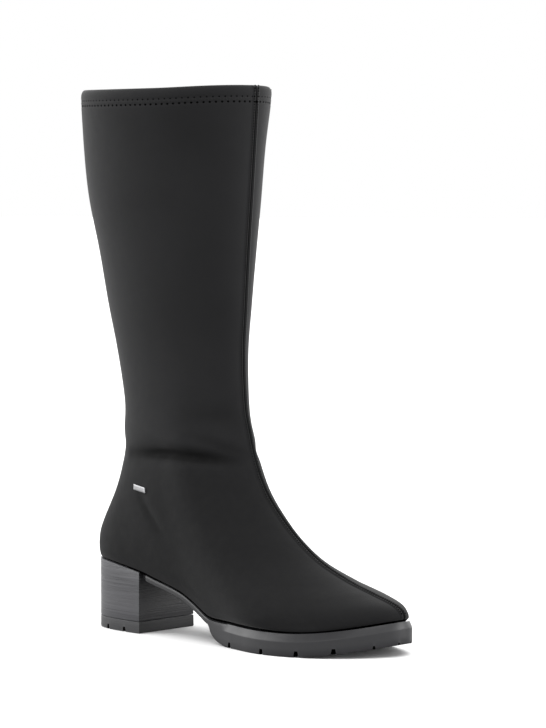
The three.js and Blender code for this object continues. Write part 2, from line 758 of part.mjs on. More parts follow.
// Pull tab lying down along the zip from its pin, with a round end and a hole in it
function makePull() {
  const shape = new THREE.Shape();
  shape.moveTo(-pull_width / 2, pin_radius);
  shape.lineTo(-pull_width / 2, -pull_length + pull_width / 2);
  shape.absarc(0, -pull_length + pull_width / 2, pull_width / 2, Math.PI, 2 * Math.PI);
  shape.lineTo(pull_width / 2, pin_radius);
  const eye = new THREE.Path();
  eye.absarc(0, -pull_length + pull_hole_from_end, pull_hole_radius, 0, 2 * Math.PI, true);
  shape.holes.push(eye);
  const flat = { depth: pull_thickness, bevelEnabled: false, curveSegments: 6 };
  const sheet = new THREE.ExtrudeGeometry(shape, flat);
  sheet.rotateX(Math.PI / 2).translate(0, pull_thickness / 2, 0);
  const pin = new THREE.CylinderGeometry(pin_radius, pin_radius, slider_width, round_segments);
  pin.rotateZ(Math.PI / 2);
  return placed(sheet, hinge_point).add(placed(pin, hinge_point));
}

function piece(name, solid, color, roughness, metalness) {
  const material = new THREE.MeshStandardMaterial({ color, roughness, metalness });
  const mesh = new THREE.Mesh(toGeometry(solid), material);
  mesh.name = name;
  return mesh;
}

const boot = new THREE.Group();
boot.name = "knee_high_boot";
boot.add(
  piece("upper", makeUpper().subtract(zipSlot()), 0x1b1b1c, 0.95, 0),
  piece("insole", makeInsole(), 0x2a2928, 0.9, 0),
  piece("outsole", makeOutsole(), 0x262627, 0.55, 0),
  piece("heel", makeHeel(), 0x262627, 0.5, 0),
  piece("top_lift", makeTopLift(), 0x222223, 0.6, 0),
  piece("zip_tape", makeZipTape(), 0x111112, 0.9, 0),
  piece("zip_teeth", makeZipTeeth(), 0x161617, 0.5, 0),
  piece("zip_slider", makeSlider(), 0x2e2e30, 0.35, 0.8),
  piece("zip_pull", makePull(), 0x2e2e30, 0.35, 0.8),
  piece("metal_tag", makeTag(), 0x9c9c9e, 0.3, 1),
);

export default boot;
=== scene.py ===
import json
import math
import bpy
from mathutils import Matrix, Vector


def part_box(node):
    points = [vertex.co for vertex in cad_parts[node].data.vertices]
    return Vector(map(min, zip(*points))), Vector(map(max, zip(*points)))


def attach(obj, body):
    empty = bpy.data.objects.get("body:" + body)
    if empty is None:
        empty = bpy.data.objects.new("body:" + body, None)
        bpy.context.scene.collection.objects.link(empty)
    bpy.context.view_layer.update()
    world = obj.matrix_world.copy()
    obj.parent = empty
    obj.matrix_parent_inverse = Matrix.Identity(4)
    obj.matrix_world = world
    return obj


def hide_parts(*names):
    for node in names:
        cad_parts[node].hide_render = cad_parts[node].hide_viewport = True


bl_info = {
    "name": "Knee-high boot",
    "version": (1, 0, 0),
    "blender": (4, 5, 0),
    "location": "3D View > Sidebar > Boot",
    "description": "A right boot: stretch cloth upper, centre seam, side zip, rubber sole and block heel",
    "category": "Object",
}

import bpy
import numpy as np
from bpy.props import FloatProperty, FloatVectorProperty, PointerProperty
from mathutils import Vector

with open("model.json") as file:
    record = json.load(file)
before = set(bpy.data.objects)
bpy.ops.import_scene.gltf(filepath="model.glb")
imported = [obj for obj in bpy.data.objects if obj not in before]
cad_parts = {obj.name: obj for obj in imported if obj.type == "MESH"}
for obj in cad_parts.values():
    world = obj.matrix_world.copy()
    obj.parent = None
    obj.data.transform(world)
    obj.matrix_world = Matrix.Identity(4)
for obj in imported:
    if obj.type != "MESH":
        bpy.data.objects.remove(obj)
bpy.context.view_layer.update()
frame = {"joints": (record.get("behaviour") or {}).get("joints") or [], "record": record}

MM = 0.001

# Places that come from the solids
heel_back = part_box("top_lift")[0].x
heel_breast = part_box("top_lift")[1].x
top_lift_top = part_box("top_lift")[1].z
toe_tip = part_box("outsole")[1].x
pull_pin = np.array(frame["joints"][0]["pos_m"], float)
pull_axis = np.array(frame["joints"][0]["axis"], float)
slot_colours = {row["slot"]: row["base_color"][:3] for row in frame["record"]["materials"]}

# Sizes that the finer surfaces share with the solids
GAP = 0.3 * MM
BALL_HALF = 46 * MM
HEEL_HALF = 27.5 * MM
TOE_SWING = 6.5 * MM
HEEL_HEIGHT = 48.5 * MM
FOREPART = 15 * MM
TOE_SPRING = 8.5 * MM
SPRING_START = 0.75
WAIST = 4.2 * MM
WAIST_SET_IN = 3.5 * MM
BEVEL_WIDTH = 2.6 * MM
TOE_LEDGE = 1.6 * MM
BEVEL_DROP = 4.8 * MM
SEAT_LEDGE = 0.6 * MM
ARRIS = 0.8 * MM
BOOT_HEIGHT = 369 * MM
COLLAR_DEPTH = 147 * MM
COLLAR_WIDTH = 105 * MM
ANKLE_HEIGHT = 139 * MM
ANKLE_DEPTH = 109 * MM
ANKLE_WIDTH = 56 * MM
UPPER_WALL = 2 * MM
HEM_WALL = 3.4 * MM
HEM_HEIGHT = 13 * MM
LASTING_MARGIN = 8 * MM
INSOLE_THICKNESS = 2.2 * MM
INSOLE_CLEARANCE = 3 * MM
INSOLE_GAP = 0.5 * MM
SLOT_WIDTH = 6.4 * MM
ZIP_FOOT = 80 * MM
TAPE_WIDTH = 20 * MM
TAPE_THICKNESS = 0.8 * MM
TAPE_GAP = 0.5 * MM
SLIDER_BELOW_COLLAR = 10 * MM
TAG_WIDTH = 13.7 * MM
TAG_HEIGHT = 3.9 * MM
TAG_THICKNESS = 0.8 * MM
TAG_TILT = 0.12
TAG_ABOVE_FLOOR = 98.8 * MM
TAG_AHEAD = 28.5 * MM

sole_length = toe_tip - heel_back


def table(names, *rows):
    """A short table as one array for each named column."""
    return dict(zip(names.split(), np.array(rows, float).T))


# Sole outline. from_toe is a share of the length; lateral and medial are shares of the width in half,
# before the round ends take theirs; swing is the centre line's share of the toe's swing.
OUTLINE = table(
    "from_toe lateral medial half swing",
    (0.00, 1.16, 0.92, BALL_HALF, 1.00),
    (0.09, 1.36, 1.01, BALL_HALF, 0.80),
    (0.17, 1.36, 1.09, BALL_HALF, 0.57),
    (0.30, 1.18, 0.99, BALL_HALF, 0.19),
    (0.42, 0.89, 0.82, BALL_HALF, 0.00),
    (0.52, 1.20, 1.09, HEEL_HALF, 0.00),
    (0.66, 1.10, 1.00, HEEL_HALF, 0.00),
    (0.78, 1.20, 1.20, HEEL_HALF, 0.00),
    (0.90, 1.39, 1.39, HEEL_HALF, 0.00),
    (1.00, 1.62, 1.62, HEEL_HALF, 0.00),
)

# Feather line: along is a share of the length from the heel's back, rise a share of the way from
# forepart to heel seat
FEATHER = table(
    "along rise",
    (0.000, 1.000),
    (0.107, 0.935),
    (0.218, 0.800),
    (0.268, 0.695),
    (0.307, 0.615),
    (0.368, 0.475),
    (0.409, 0.325),
    (0.439, 0.195),
    (0.465, 0.085),
    (0.490, 0.038),
    (0.540, 0.020),
    (0.620, 0.000),
    (1.000, 0.000),
)

# Rings of the upper from the feather line to the ankle, in shares as the solids have them
FOOT_RINGS = table(
    "back_x back_z front_x front_z follow tip ball tip_medial ball_medial waist seat back",
    (0.00, 0.00, 0.000, 0.000, 1.00, 1.08, 1.020, 1.04, 1.02, 0.62, 0.710, 1.02),
    (-0.05, 0.07, 0.015, 0.045, 0.95, 1.08, 1.070, 1.05, 1.07, 0.67, 0.745, 1.02),
    (-0.065, 0.14, 0.070, 0.085, 0.86, 1.06, 1.065, 1.26, 1.01, 0.69, 0.750, 0.97),
    (-0.03, 0.21, 0.190, 0.130, 0.72, 1.02, 1.020, 1.34, 0.91, 0.70, 0.740, 0.91),
    (0.10, 0.29, 0.355, 0.193, 0.57, 0.96, 0.950, 1.08, 0.85, 0.70, 0.720, 0.84),
    (0.29, 0.38, 0.530, 0.284, 0.43, 0.89, 0.880, 0.74, 0.80, 0.69, 0.695, 0.77),
    (0.50, 0.475, 0.670, 0.397, 0.31, 0.80, 0.820, 0.58, 0.76, 0.68, 0.670, 0.71),
    (0.70, 0.58, 0.790, 0.525, 0.21, 0.69, 0.770, 0.56, 0.73, 0.66, 0.645, 0.66),
    (0.875, 0.70, 0.890, 0.665, 0.12, 0.58, 0.730, 0.55, 0.71, 0.64, 0.625, 0.63),
    (1.02, 0.84, 0.958, 0.830, 0.05, 0.49, 0.690, 0.52, 0.68, 0.62, 0.610, 0.61),
)

# Rings of the shaft: height from ankle to collar, change of depth and width, lean of the centre as a
# share of the collar's depth, and the front's half width as a share of the ring's
SHAFT_RINGS = table(
    "height depth width lean tip",
    (0.000, 0.00, 0.00, 0.336, 0.75),
    (0.083, -0.09, -0.08, 0.320, 0.90),
    (0.230, 0.04, -0.04, 0.292, 1.00),
    (0.378, 0.29, 0.17, 0.273, 1.00),
    (0.526, 0.51, 0.40, 0.259, 1.00),
    (0.674, 0.76, 0.60, 0.245, 1.00),
    (0.820, 0.92, 0.75, 0.242, 1.00),
    (0.940, 0.98, 0.96, 0.248, 1.00),
    (1.000, 1.00, 1.00, 0.251, 1.00),
)

# Zip line: height as a share of the boot's, and degrees round from the centre front
ZIP_LINE = table(
    "height degrees",
    (0.20, 86),
    (0.27, 82),
    (0.38, 76),
    (0.50, 73),
    (0.60, 69),
    (0.70, 64),
    (0.80, 58),
    (0.90, 52),
    (1.00, 46),
)

# Tread notches: from_toe is a share of the sole's length, size scales the notch
SOLE_NOTCHES = ((0.430, 1.0), (0.294, 1.0), (0.191, 1.0), (0.106, 1.0), (0.036, 0.55), (0.004, 0.4))
HEEL_NOTCHES = ((0.846, 0.9), (0.919, 0.9))

# Creases of the cloth: x and z of their points in millimetres, depth as a share of the deepest one's,
# and width in millimetres. A ridge of lift times that depth stands above each trough.
CREASES = (
    {"side": "lateral", "depth": 1.00, "width": 4.3, "lift": 0.15,
     "path": ((11, 122.2), (27, 122.5), (45, 123.4), (61, 123.8), (75, 122.9), (85, 121.9), (94, 120.8),
              (107, 118.8))},
    {"side": "lateral", "depth": 0.22, "width": 3.0, "lift": 0.35,
     "path": ((66, 137.5), (78, 134.3), (88, 131.6), (97, 128.2), (105, 125.2), (112, 121.0))},
    {"side": "lateral", "depth": 0.10, "width": 3.5, "lift": 0.60,
     "path": ((-4, 128.0), (10, 129.2), (27, 130.3), (39, 130.8), (56, 129.8))},
    {"side": "lateral", "depth": 0.14, "width": 6.0, "lift": 0.20,
     "path": ((64, 149.0), (80, 148.0), (93, 148.5), (106, 146.0))},
    {"side": "lateral", "depth": 0.20, "width": 3.4, "lift": 0.40,
     "path": ((25, 97.0), (38, 83.0), (56, 66.0))},
    {"side": "medial", "depth": 0.50, "width": 4.0, "lift": 0.40,
     "path": ((50, 118.0), (75, 121.5), (94, 124.5), (110, 127.0))},
    {"side": "medial", "depth": 0.25, "width": 4.0, "lift": 0.40,
     "path": ((8, 112.0), (26, 117.0), (42, 119.0))},
)

# How soon a crease dies out at its ends, and its ridge's height above it and width, both in its widths
CREASE_FADE = 0.8
RIDGE_ABOVE = 2.3
RIDGE_WIDTH = 1.6


def spline(stations, t):
    """Weights that turn a row of values at the stations into the smooth curve's values at t: each
    stretch is a cubic whose slope at a station is that of the line between its two neighbours."""
    stations = np.asarray(stations, float)
    t = np.asarray(t, float)
    last = len(stations) - 1
    flat = t.ravel()
    i = np.clip(np.searchsorted(stations, flat) - 1, 0, last - 1)
    width = stations[i + 1] - stations[i]
    s = np.clip((flat - stations[i]) / width, 0, 1)
    weights = np.zeros((flat.size, last + 1))
    each = np.arange(flat.size)

    def slope(k, amount):
        a = np.maximum(k - 1, 0)
        b = np.minimum(k + 1, last)
        run = stations[b] - stations[a]
        weights[each, b] += amount * width / run
        weights[each, a] -= amount * width / run

    weights[each, i] += 2 * s**3 - 3 * s**2 + 1
    weights[each, i + 1] += 3 * s**2 - 2 * s**3
    slope(i, s**3 - 2 * s**2 + s)
    slope(i + 1, s**3 - s**2)
    return weights.reshape(t.shape + (last + 1,))


def mix(a, b, share):
    return a + (b - a) * share


def smooth(t, low, high):
    """Runs smoothly from 0 at low to 1 at high."""
    s = np.clip((t - low) / (high - low), 0, 1)
    return s * s * (3 - 2 * s)


def bell(t):
    """1 at 0, falling away on both sides as a bell curve."""
    return np.exp(-(t**2))


def unit(vectors):
    return vectors / np.linalg.norm(vectors, axis=-1, keepdims=True)


def circle(sides):
    """Cosines and sines of equal steps round a circle."""
    angle = np.linspace(0, 2 * np.pi, sides, endpoint=False)
    return np.cos(angle), np.sin(angle)


def rounded_square(corner, sides):
    """A loop in the square of half width 1: cosine and sine raised to the power of corner, so that the
    smaller it is the squarer the loop."""
    loop = np.stack(circle(sides), -1)
    return np.sign(loop) * np.abs(loop) ** corner


def reach_along(line):
    """Distance along a line of points, from its first one."""
    steps = np.linalg.norm(np.diff(line, axis=0), axis=1)
    return np.concatenate([[0], np.cumsum(steps)])


def even_stops(reach, spacing):
    """Distances at equal steps along a line, both ends among them."""
    return np.linspace(0, reach[-1], int(reach[-1] / spacing) + 1)


def read_at(stops, reach, values):
    """Values given along a line, read at the stops."""
    return np.stack([np.interp(stops, reach, values[:, k]) for k in range(values.shape[1])], -1)


def along(x):
    return (x - heel_back) / sole_length


def spring(x):
    """Height of the sole's underside: flat, then rising with the square of the way to the toe."""
    past = np.clip((along(x) - SPRING_START) / (1 - SPRING_START), 0, None)
    return TOE_SPRING * past * past


def feather(x):
    """Height of the line where upper and sole meet."""
    rise = spline(FEATHER["along"], along(x)) @ FEATHER["rise"]
    return FOREPART + rise * (HEEL_HEIGHT - FOREPART) + spring(x)


def outline(turn):
    """Sole outline: x runs with the cosine of the angle, y is the swing plus a half width times its
    sine. The angle is 0 at the toe and a quarter turn on the medial side."""
    turn = np.asarray(turn, float)
    from_toe = (1 - np.cos(turn)) / 2
    weights = spline(OUTLINE["from_toe"], from_toe)
    lateral = weights @ (OUTLINE["lateral"] * OUTLINE["half"])
    medial = weights @ (OUTLINE["medial"] * OUTLINE["half"])
    half = np.where(np.sin(turn) < 0, lateral, medial)
    swing = TOE_SWING * (weights @ OUTLINE["swing"])
    return np.stack([mix(toe_tip, heel_back, from_toe), swing + half * np.sin(turn)], -1)


TURN_STEP = 1e-3
LEVEL_STEP = 0.02


def inset(turn, amount):
    """The outline moved inwards, square to itself."""
    tangent = unit(outline(turn + TURN_STEP) - outline(turn - TURN_STEP))
    inwards = np.stack([-tangent[..., 1], tangent[..., 0]], -1)
    return outline(turn) + inwards * np.asarray(amount)[..., None]


def ledge(turn):
    """How far the upper stands in from the sole's edge."""
    from_toe = (1 - np.cos(turn)) / 2
    forepart = mix(TOE_LEDGE, BEVEL_WIDTH, smooth(from_toe, 0, 0.12))
    return mix(forepart, SEAT_LEDGE, smooth(from_toe, 0.4, 0.52))


front_edge = inset(np.array(0.0), ledge(0.0))[0]
back_edge = inset(np.array(np.pi), ledge(np.pi))[0]
front_edge_z = float(feather(front_edge))
back_edge_z = float(feather(back_edge))


def upper_rows():
    """Each ring's ends, follow and half widths in metres: foot rings run from the feather line to the
    ankle, shaft rings from the ankle to the collar."""
    widths = ("tip", "ball", "tip_medial", "ball_medial", "waist", "seat", "back")
    foot = FOOT_RINGS
    shaft = SHAFT_RINGS
    ankle = shaft["lean"][0] * COLLAR_DEPTH
    half_depth = mix(ANKLE_DEPTH, COLLAR_DEPTH, shaft["depth"]) / 2
    half_width = mix(ANKLE_WIDTH, COLLAR_WIDTH, shaft["width"]) / 2
    centre = shaft["lean"] * COLLAR_DEPTH
    height = mix(ANKLE_HEIGHT, BOOT_HEIGHT, shaft["height"])
    rows = {
        "back_x": (mix(back_edge, ankle - ANKLE_DEPTH / 2, foot["back_x"]), centre - half_depth),
        "back_z": (mix(back_edge_z, ANKLE_HEIGHT, foot["back_z"]), height),
        "front_x": (mix(front_edge, ankle + ANKLE_DEPTH / 2, foot["front_x"]), centre + half_depth),
        "front_z": (mix(front_edge_z, ANKLE_HEIGHT, foot["front_z"]), height),
        "follow": (foot["follow"], 0 * height),
    }
    for name in widths:
        narrowed = shaft["tip"] if name.startswith("tip") else 1
        rows[name] = (foot[name] * BALL_HALF, half_width * narrowed)
    return {name: np.concatenate(parts) for name, parts in rows.items()}


ROWS = upper_rows()
ROW_NUMBERS = np.arange(len(ROWS["follow"]))
TOP_LEVEL = ROW_NUMBERS[-1]
ANKLE_LEVEL = len(FOOT_RINGS["follow"])
WIDTH_STATIONS = (0, 0.3, 0.55, 0.8, 1)


def outer(level, turn):
    """Outer face of the upper at a ring number, which may be fractional, and an angle round the ring.
    x and z run from the ring's front to its back with the cosine; y is the sole's centre line, as far
    as the ring follows it, plus a half width times the sine. The first ring is the sole's outline set
    in by the ledge, blended in over one ring."""
    level, turn = np.broadcast_arrays(np.asarray(level, float), np.asarray(turn, float))
    weights = spline(ROW_NUMBERS, level)
    ring = {name: weights @ values for name, values in ROWS.items()}
    from_front = (1 - np.cos(turn)) / 2
    share = spline(WIDTH_STATIONS, from_front)
    lateral = np.sin(turn) < 0
    tip = np.where(lateral, ring["tip"], ring["tip_medial"])
    ball = np.where(lateral, ring["ball"], ring["ball_medial"])
    halves = np.stack([tip, ball, ring["waist"], ring["seat"], ring["back"]], -1)
    half = (share * halves).sum(-1)
    centre = (outline(turn)[..., 1] + outline(-turn)[..., 1]) / 2
    level_line = mix(front_edge_z, back_edge_z, from_front)
    sag = feather(mix(front_edge, back_edge, from_front)) - level_line
    x = mix(ring["front_x"], ring["back_x"], from_front)
    y = ring["follow"] * centre + half * np.sin(turn)
    z = mix(ring["front_z"], ring["back_z"], from_front) + ring["follow"] * sag
    free = np.stack([x, y, z], -1)
    edge = inset(turn, ledge(turn))
    on_edge = np.concatenate([edge, feather(edge[..., :1])], -1)
    return mix(on_edge, free, smooth(level, 0, 1)[..., None])


def frames(level, turn):
    """Point, direction round the face, outward normal and metres per radian."""
    above = outer(np.minimum(level + LEVEL_STEP, TOP_LEVEL), turn)
    below = outer(np.maximum(level - LEVEL_STEP, 0), turn)
    step = outer(level, turn + TURN_STEP) - outer(level, turn - TURN_STEP)
    pace = np.linalg.norm(step, axis=-1) / (2 * TURN_STEP)
    around = unit(step)
    out = unit(np.cross(around, unit(above - below)))
    return {"point": outer(level, turn), "around": around, "out": out, "pace": pace}


def level_of(height, turn):
    """Ring number at which the line at turn reaches height, by halving."""
    height, turn = np.broadcast_arrays(np.asarray(height, float), np.asarray(turn, float))
    low = np.zeros(height.shape)
    high = np.full(height.shape, float(TOP_LEVEL))
    for _ in range(30):
        middle = (low + high) / 2
        below = outer(middle, turn)[..., 2] < height
        low = np.where(below, middle, low)
        high = np.where(below, high, middle)
    return (low + high) / 2


def zip_turn(height):
    """Angle of the zip line at a height."""
    return np.radians(spline(ZIP_LINE["height"], height / BOOT_HEIGHT) @ ZIP_LINE["degrees"])


def zip_turn_at(level):
    """Angle of the zip line on a ring: its height there and its angle are settled by turns."""
    level = np.asarray(level, float)
    turn = np.full(level.shape, math.radians(75))
    for _ in range(6):
        turn = zip_turn(outer(level, turn)[..., 2])
    return turn


def wrapped(turn):
    """The same angle between minus and plus half a turn."""
    return (turn + np.pi) % (2 * np.pi) - np.pi


def crease_lift(point):
    """Sum of the creases: across each path a soft trough, a bell curve of the distance, and above it a
    wider, lower ridge. Both die out at the path's ends."""
    total = np.zeros(point.shape[:-1])
    for crease in CREASES:
        path = np.array(crease["path"]) * MM
        width = crease["width"] * MM
        nearest = np.full(total.shape, np.inf)
        above = np.zeros(total.shape)
        share = np.zeros(total.shape)
        for k in range(len(path) - 1):
            run = path[k + 1] - path[k]
            offset = point[..., [0, 2]] - path[k]
            s = np.clip((offset @ run) / (run @ run), 0, 1)
            away = offset - s[..., None] * run
            distance = np.linalg.norm(away, axis=-1)
            closer = distance < nearest
            signed = np.where(run[0] * away[..., 1] - run[1] * away[..., 0] < 0, -distance, distance)
            nearest = np.where(closer, distance, nearest)
            above = np.where(closer, signed, above)
            share = np.where(closer, (k + s) / (len(path) - 1), share)
        sign = -1 if crease["side"] == "lateral" else 1
        on_side = smooth(sign * point[..., 1], 0, 14 * MM)
        fade = np.sin(np.pi * np.clip(share, 0, 1)) ** CREASE_FADE
        trough = -bell(above / width)
        ridge = crease["lift"] * bell((above - RIDGE_ABOVE * width) / (RIDGE_WIDTH * width))
        total += crease["depth"] * on_side * fade * (trough + ridge)
    return total


# Centre seam: where its lips fall away, the two rows of stitches beside its middle, how wide its grooves
# are and how deep, as shares of the seam's height
SEAM_LIPS = (2.1 * MM, 3.3 * MM)
SEAM_ROW = 1.7 * MM
SEAM_GROOVE = 0.45 * MM
MIDDLE_GROOVE = 3.2
ROW_GROOVE = 0.12

# Cloth tucked in just above the sole, at the waist and at the forepart
TUCK_DEPTH = (0.6 * MM, 2.1 * MM)
TUCK_HEIGHT = (0.8 * MM, 1.3 * MM)

# Hem: its two rows of needle holes below the collar, and the hollow that each draws in the cloth
HEM_ROWS = np.array([7.4, 10.8]) * MM
HEM_HOLLOW = 0.3 * MM
HEM_HOLLOW_HEIGHT = 0.8 * MM

# Collar line: its dip between back and front, its peak at the front, and where on the shaft it starts
COLLAR_DIP = -1.6 * MM
COLLAR_PEAK = 1.0 * MM
COLLAR_MIDDLE = 40 * MM
COLLAR_REACH = 80 * MM
TILT_START = 300 * MM


def seam_lift(across, height):
    """Raised centre seam across its width: two rounded lips, a narrow groove between them and a shallow
    one under each row of stitches, all bell curves."""
    lips = smooth(across, SEAM_LIPS[1], SEAM_LIPS[0])
    middle = MIDDLE_GROOVE * bell(across / SEAM_GROOVE)
    row = ROW_GROOVE * bell((across - SEAM_ROW) / SEAM_GROOVE)
    return height * (lips - middle - row * lips)


def relief(level, turn, point, front_pace, sizes):
    """Lift of the cloth off the plain face: the centre seam, the creases, the hem's hollows, the tuck
    above the sole and a slow unevenness of the shaft from a few long waves."""
    across = np.abs(wrapped(turn)) * front_pace
    seam = seam_lift(across, sizes.seam_height) * smooth(level, 0.15, 0.8)
    x, y, z = (point[..., k] for k in range(3))
    waves = (
        np.sin(z * 31 + x * 17 + 0.6)
        * np.sin(x * 43 - z * 12 + 1.9)
        + 0.6 * np.sin(z * 62 - y * 38 + 0.3) * np.sin(x * 29 + 2.6)
    )
    slack = sizes.unevenness * waves * smooth(z, 60 * MM, 130 * MM) * smooth(across, 6 * MM, 30 * MM)
    forepart = smooth(x, 70 * MM, 115 * MM)
    tuck = mix(*TUCK_DEPTH, forepart) * bell((z - feather(x)) / mix(*TUCK_HEIGHT, forepart))
    drop = BOOT_HEIGHT - z
    hem = HEM_HOLLOW * sum(bell((drop - row) / HEM_HOLLOW_HEIGHT) for row in HEM_ROWS)
    return seam + sizes.crease_depth * crease_lift(point) + slack - hem - tuck


def collar_tilt(x, z):
    """Rise of the collar's line: the dip is a parabola, and both fade out down the shaft."""
    dip = COLLAR_DIP * (1 - ((x - COLLAR_MIDDLE) / COLLAR_REACH) ** 2)
    peak = COLLAR_PEAK * smooth(x, 60 * MM, 110 * MM)
    return (dip + peak) * smooth(z, TILT_START, BOOT_HEIGHT)


def on_upper(level, turn, lift, sizes):
    """Points of the dressed upper, with the frames of the plain face under them."""
    level, turn = np.broadcast_arrays(np.asarray(level, float), np.asarray(turn, float))
    face = frames(level, turn)
    front_pace = frames(level, 0 * turn)["pace"]
    total = relief(level, turn, face["point"], front_pace, sizes) + lift
    point = face["point"] + face["out"] * total[..., None]
    point[..., 2] += collar_tilt(point[..., 0], point[..., 2])
    return {**face, "point": point}


def grid_faces(rows, columns, wrap_rows=False, wrap_columns=False):
    """Four-sided faces between neighbouring points of a grid."""
    r = np.arange(rows if wrap_rows else rows - 1)[:, None]
    c = np.arange(columns if wrap_columns else columns - 1)[None, :]
    next_r = (r + 1) % rows
    next_c = (c + 1) % columns
    corners = (r * columns + c, r * columns + next_c, next_r * columns + next_c, next_r * columns + c)
    return np.stack([np.broadcast_to(k, (r.size, c.size)) for k in corners], -1).reshape(-1, 4)


def turned_out(points, faces):
    """The faces, reversed where the closed surface would be inside out."""
    volume = 0.0
    middle = points.mean(0)
    for block in faces:
        first = points[block[:, 0]] - middle
        for k in range(1, block.shape[1] - 1):
            corner = np.cross(points[block[:, k]] - middle, points[block[:, k + 1]] - middle)
            volume += float((first * corner).sum())
    return [block[:, ::-1] for block in faces] if volume < 0 else list(faces)


def barrel(points, rings, sides):
    """Faces of a closed body over rings of points, with a cap at either end."""
    first = np.arange(sides)
    caps = np.stack([first[::-1], (rings - 1) * sides + first])
    return turned_out(points, [grid_faces(rings, sides, wrap_columns=True), caps])


def make_mesh(name, points, faces, sharp=None):
    """A mesh object at the origin from an array of points and arrays of faces, shaded smooth except
    where two faces meet at more than the sharp angle."""
    mesh = bpy.data.meshes.new(name)
    rows = [face for block in faces for face in block.tolist()]
    mesh.from_pydata(points.reshape(-1, 3).tolist(), [], rows)
    mesh.validate()
    mesh.shade_smooth()
    if sharp is not None:
        mesh.set_sharp_from_angle(angle=math.radians(sharp))
    piece = bpy.data.objects.new(name, mesh)
    bpy.context.scene.collection.objects.link(piece)
    return piece


def finish_piece(piece, slot, *materials, body="boot", replaces=()):
    for material in materials:
        piece.data.materials.append(material)
    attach(piece, body)
    if replaces:
        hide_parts(*replaces)


def apply_modifiers(piece):
    """The piece's mesh as its modifiers leave it, kept as plain mesh."""
    graph = bpy.context.evaluated_depsgraph_get()
    graph.update()
    mesh = bpy.data.meshes.new_from_object(piece.evaluated_get(graph))
    piece.modifiers.clear()
    old = piece.data
    piece.data = mesh
    bpy.data.meshes.remove(old)


def round_edges(piece, width):
    """Rounds the piece's sharp edges."""
    bevel = piece.modifiers.new("rounded edges", "BEVEL")
    bevel.width = width
    bevel.segments = 2
    bevel.limit_method = "ANGLE"
    bevel.angle_limit = math.radians(60)
    bevel.harden_normals = True


class Nodes:
    """A material's node tree, written one node to a line."""

    def __init__(self, name, colour, roughness):
        self.material = bpy.data.materials.new(name)
        self.material.use_nodes = True
        self.tree = self.material.node_tree
        self.shader = self.tree.nodes["Principled BSDF"]
        self.material.diffuse_color = (*colour, 1)
        self.set(self.shader, {"Base Color": colour, "Roughness": roughness})
        self.place = self.tree.nodes.new("ShaderNodeTexCoord").outputs["Object"]

    def put(self, socket, value):
        """Links a socket to another's output or sets it, a colour with its fourth channel."""
        if isinstance(value, bpy.types.NodeSocket):
            self.tree.links.new(value, socket)
        elif socket.type == "RGBA":
            socket.default_value = (*value, 1)
        else:
            socket.default_value = value

    def set(self, node, values):
        for name, value in values.items():
            self.put(node.inputs[name], value)

    def add(self, kind, values, **settings):
        node = self.tree.nodes.new(kind)
        for name, value in settings.items():
            setattr(node, name, value)
        self.set(node, values)
        return node

    def noise(self, scale, detail=2.0, roughness=0.5, stretch=None):
        """Noise in metres: scale is blobs to a metre, stretch squeezes it along each axis."""
        vector = self.place
        if stretch is not None:
            mapping = self.add("ShaderNodeMapping", {"Vector": self.place, "Scale": stretch})
            vector = mapping.outputs["Vector"]
        values = {"Vector": vector, "Scale": scale, "Detail": detail, "Roughness": roughness}
        return self.add("ShaderNodeTexNoise", values).outputs["Fac"]

    def ramp(self, value, low, high, out_low, out_high):
        values = {"Value": value, "From Min": low, "From Max": high, "To Min": out_low, "To Max": out_high}
        return self.add("ShaderNodeMapRange", values).outputs["Result"]

    def blend_colour(self, factor, first, second):
        node = self.add("ShaderNodeMix", {}, data_type="RGBA")
        for k, value in ((0, factor), (6, first), (7, second)):
            self.put(node.inputs[k], value)
        return node.outputs[2]

    def bump(self, height, distance, strength=1.0, under=None):
        values = {"Height": height, "Distance": distance, "Strength": strength}
        if under is not None:
            values["Normal"] = under
        return self.add("ShaderNodeBump", values).outputs["Normal"]

    def math(self, operation, first, second):
        node = self.add("ShaderNodeMath", {}, operation=operation)
        for k, value in enumerate((first, second)):
            self.put(node.inputs[k], value)
        return node.outputs[0]

    def finish(self, **sockets):
        self.set(self.shader, {name.replace("_", " "): value for name, value in sockets.items()})
        return self.material


def shade(colour, factor):
    return tuple(min(channel * factor, 1) for channel in colour)


def cloth_material(name, colour, grain, sheen=0.35):
    """Brushed stretch microfibre: a fine nap, faint mottling where the nap lies either way, and a soft
    sheen at grazing angles. Painted shade darkens the colour and dims the sheen: some over the lasted
    foot, more in the seam's groove and the troughs of the creases."""
    nodes = Nodes(name, colour, 0.86)
    nap = nodes.noise(1 / grain, detail=3.0, roughness=0.65)
    mottle = nodes.noise(160, detail=4.0, roughness=0.6)
    cloud = nodes.noise(22, detail=2.0)
    tint = nodes.math("ADD", nodes.math("MULTIPLY", mottle, 0.5), nodes.math("MULTIPLY", cloud, 0.5))
    tint = nodes.ramp(tint, 0.35, 0.65, 0, 1)
    paint = nodes.blend_colour(tint, shade(colour, 0.82), shade(colour, 1.18))
    # Painted shade: where the attribute says, the colour is darkened and the sheen dimmed
    painted_cloth_shade = nodes.add("ShaderNodeAttribute", {}, attribute_name="painted_cloth_shade").outputs["Fac"]
    paint = nodes.blend_colour(painted_cloth_shade, paint, shade(colour, 0.12))
    sheen = nodes.ramp(painted_cloth_shade, 0, 0.9, sheen, 0.03)
    normal = nodes.bump(nap, 0.00012, 0.5)
    normal = nodes.bump(mottle, 0.0003, 0.25, normal)
    gloss = nodes.ramp(mottle, 0.3, 0.7, 0.8, 0.92)
    return nodes.finish(
        Base_Color=paint, Normal=normal, Roughness=gloss, Sheen_Weight=sheen, Sheen_Roughness=0.45,
        Specular_IOR_Level=0.3,
    )


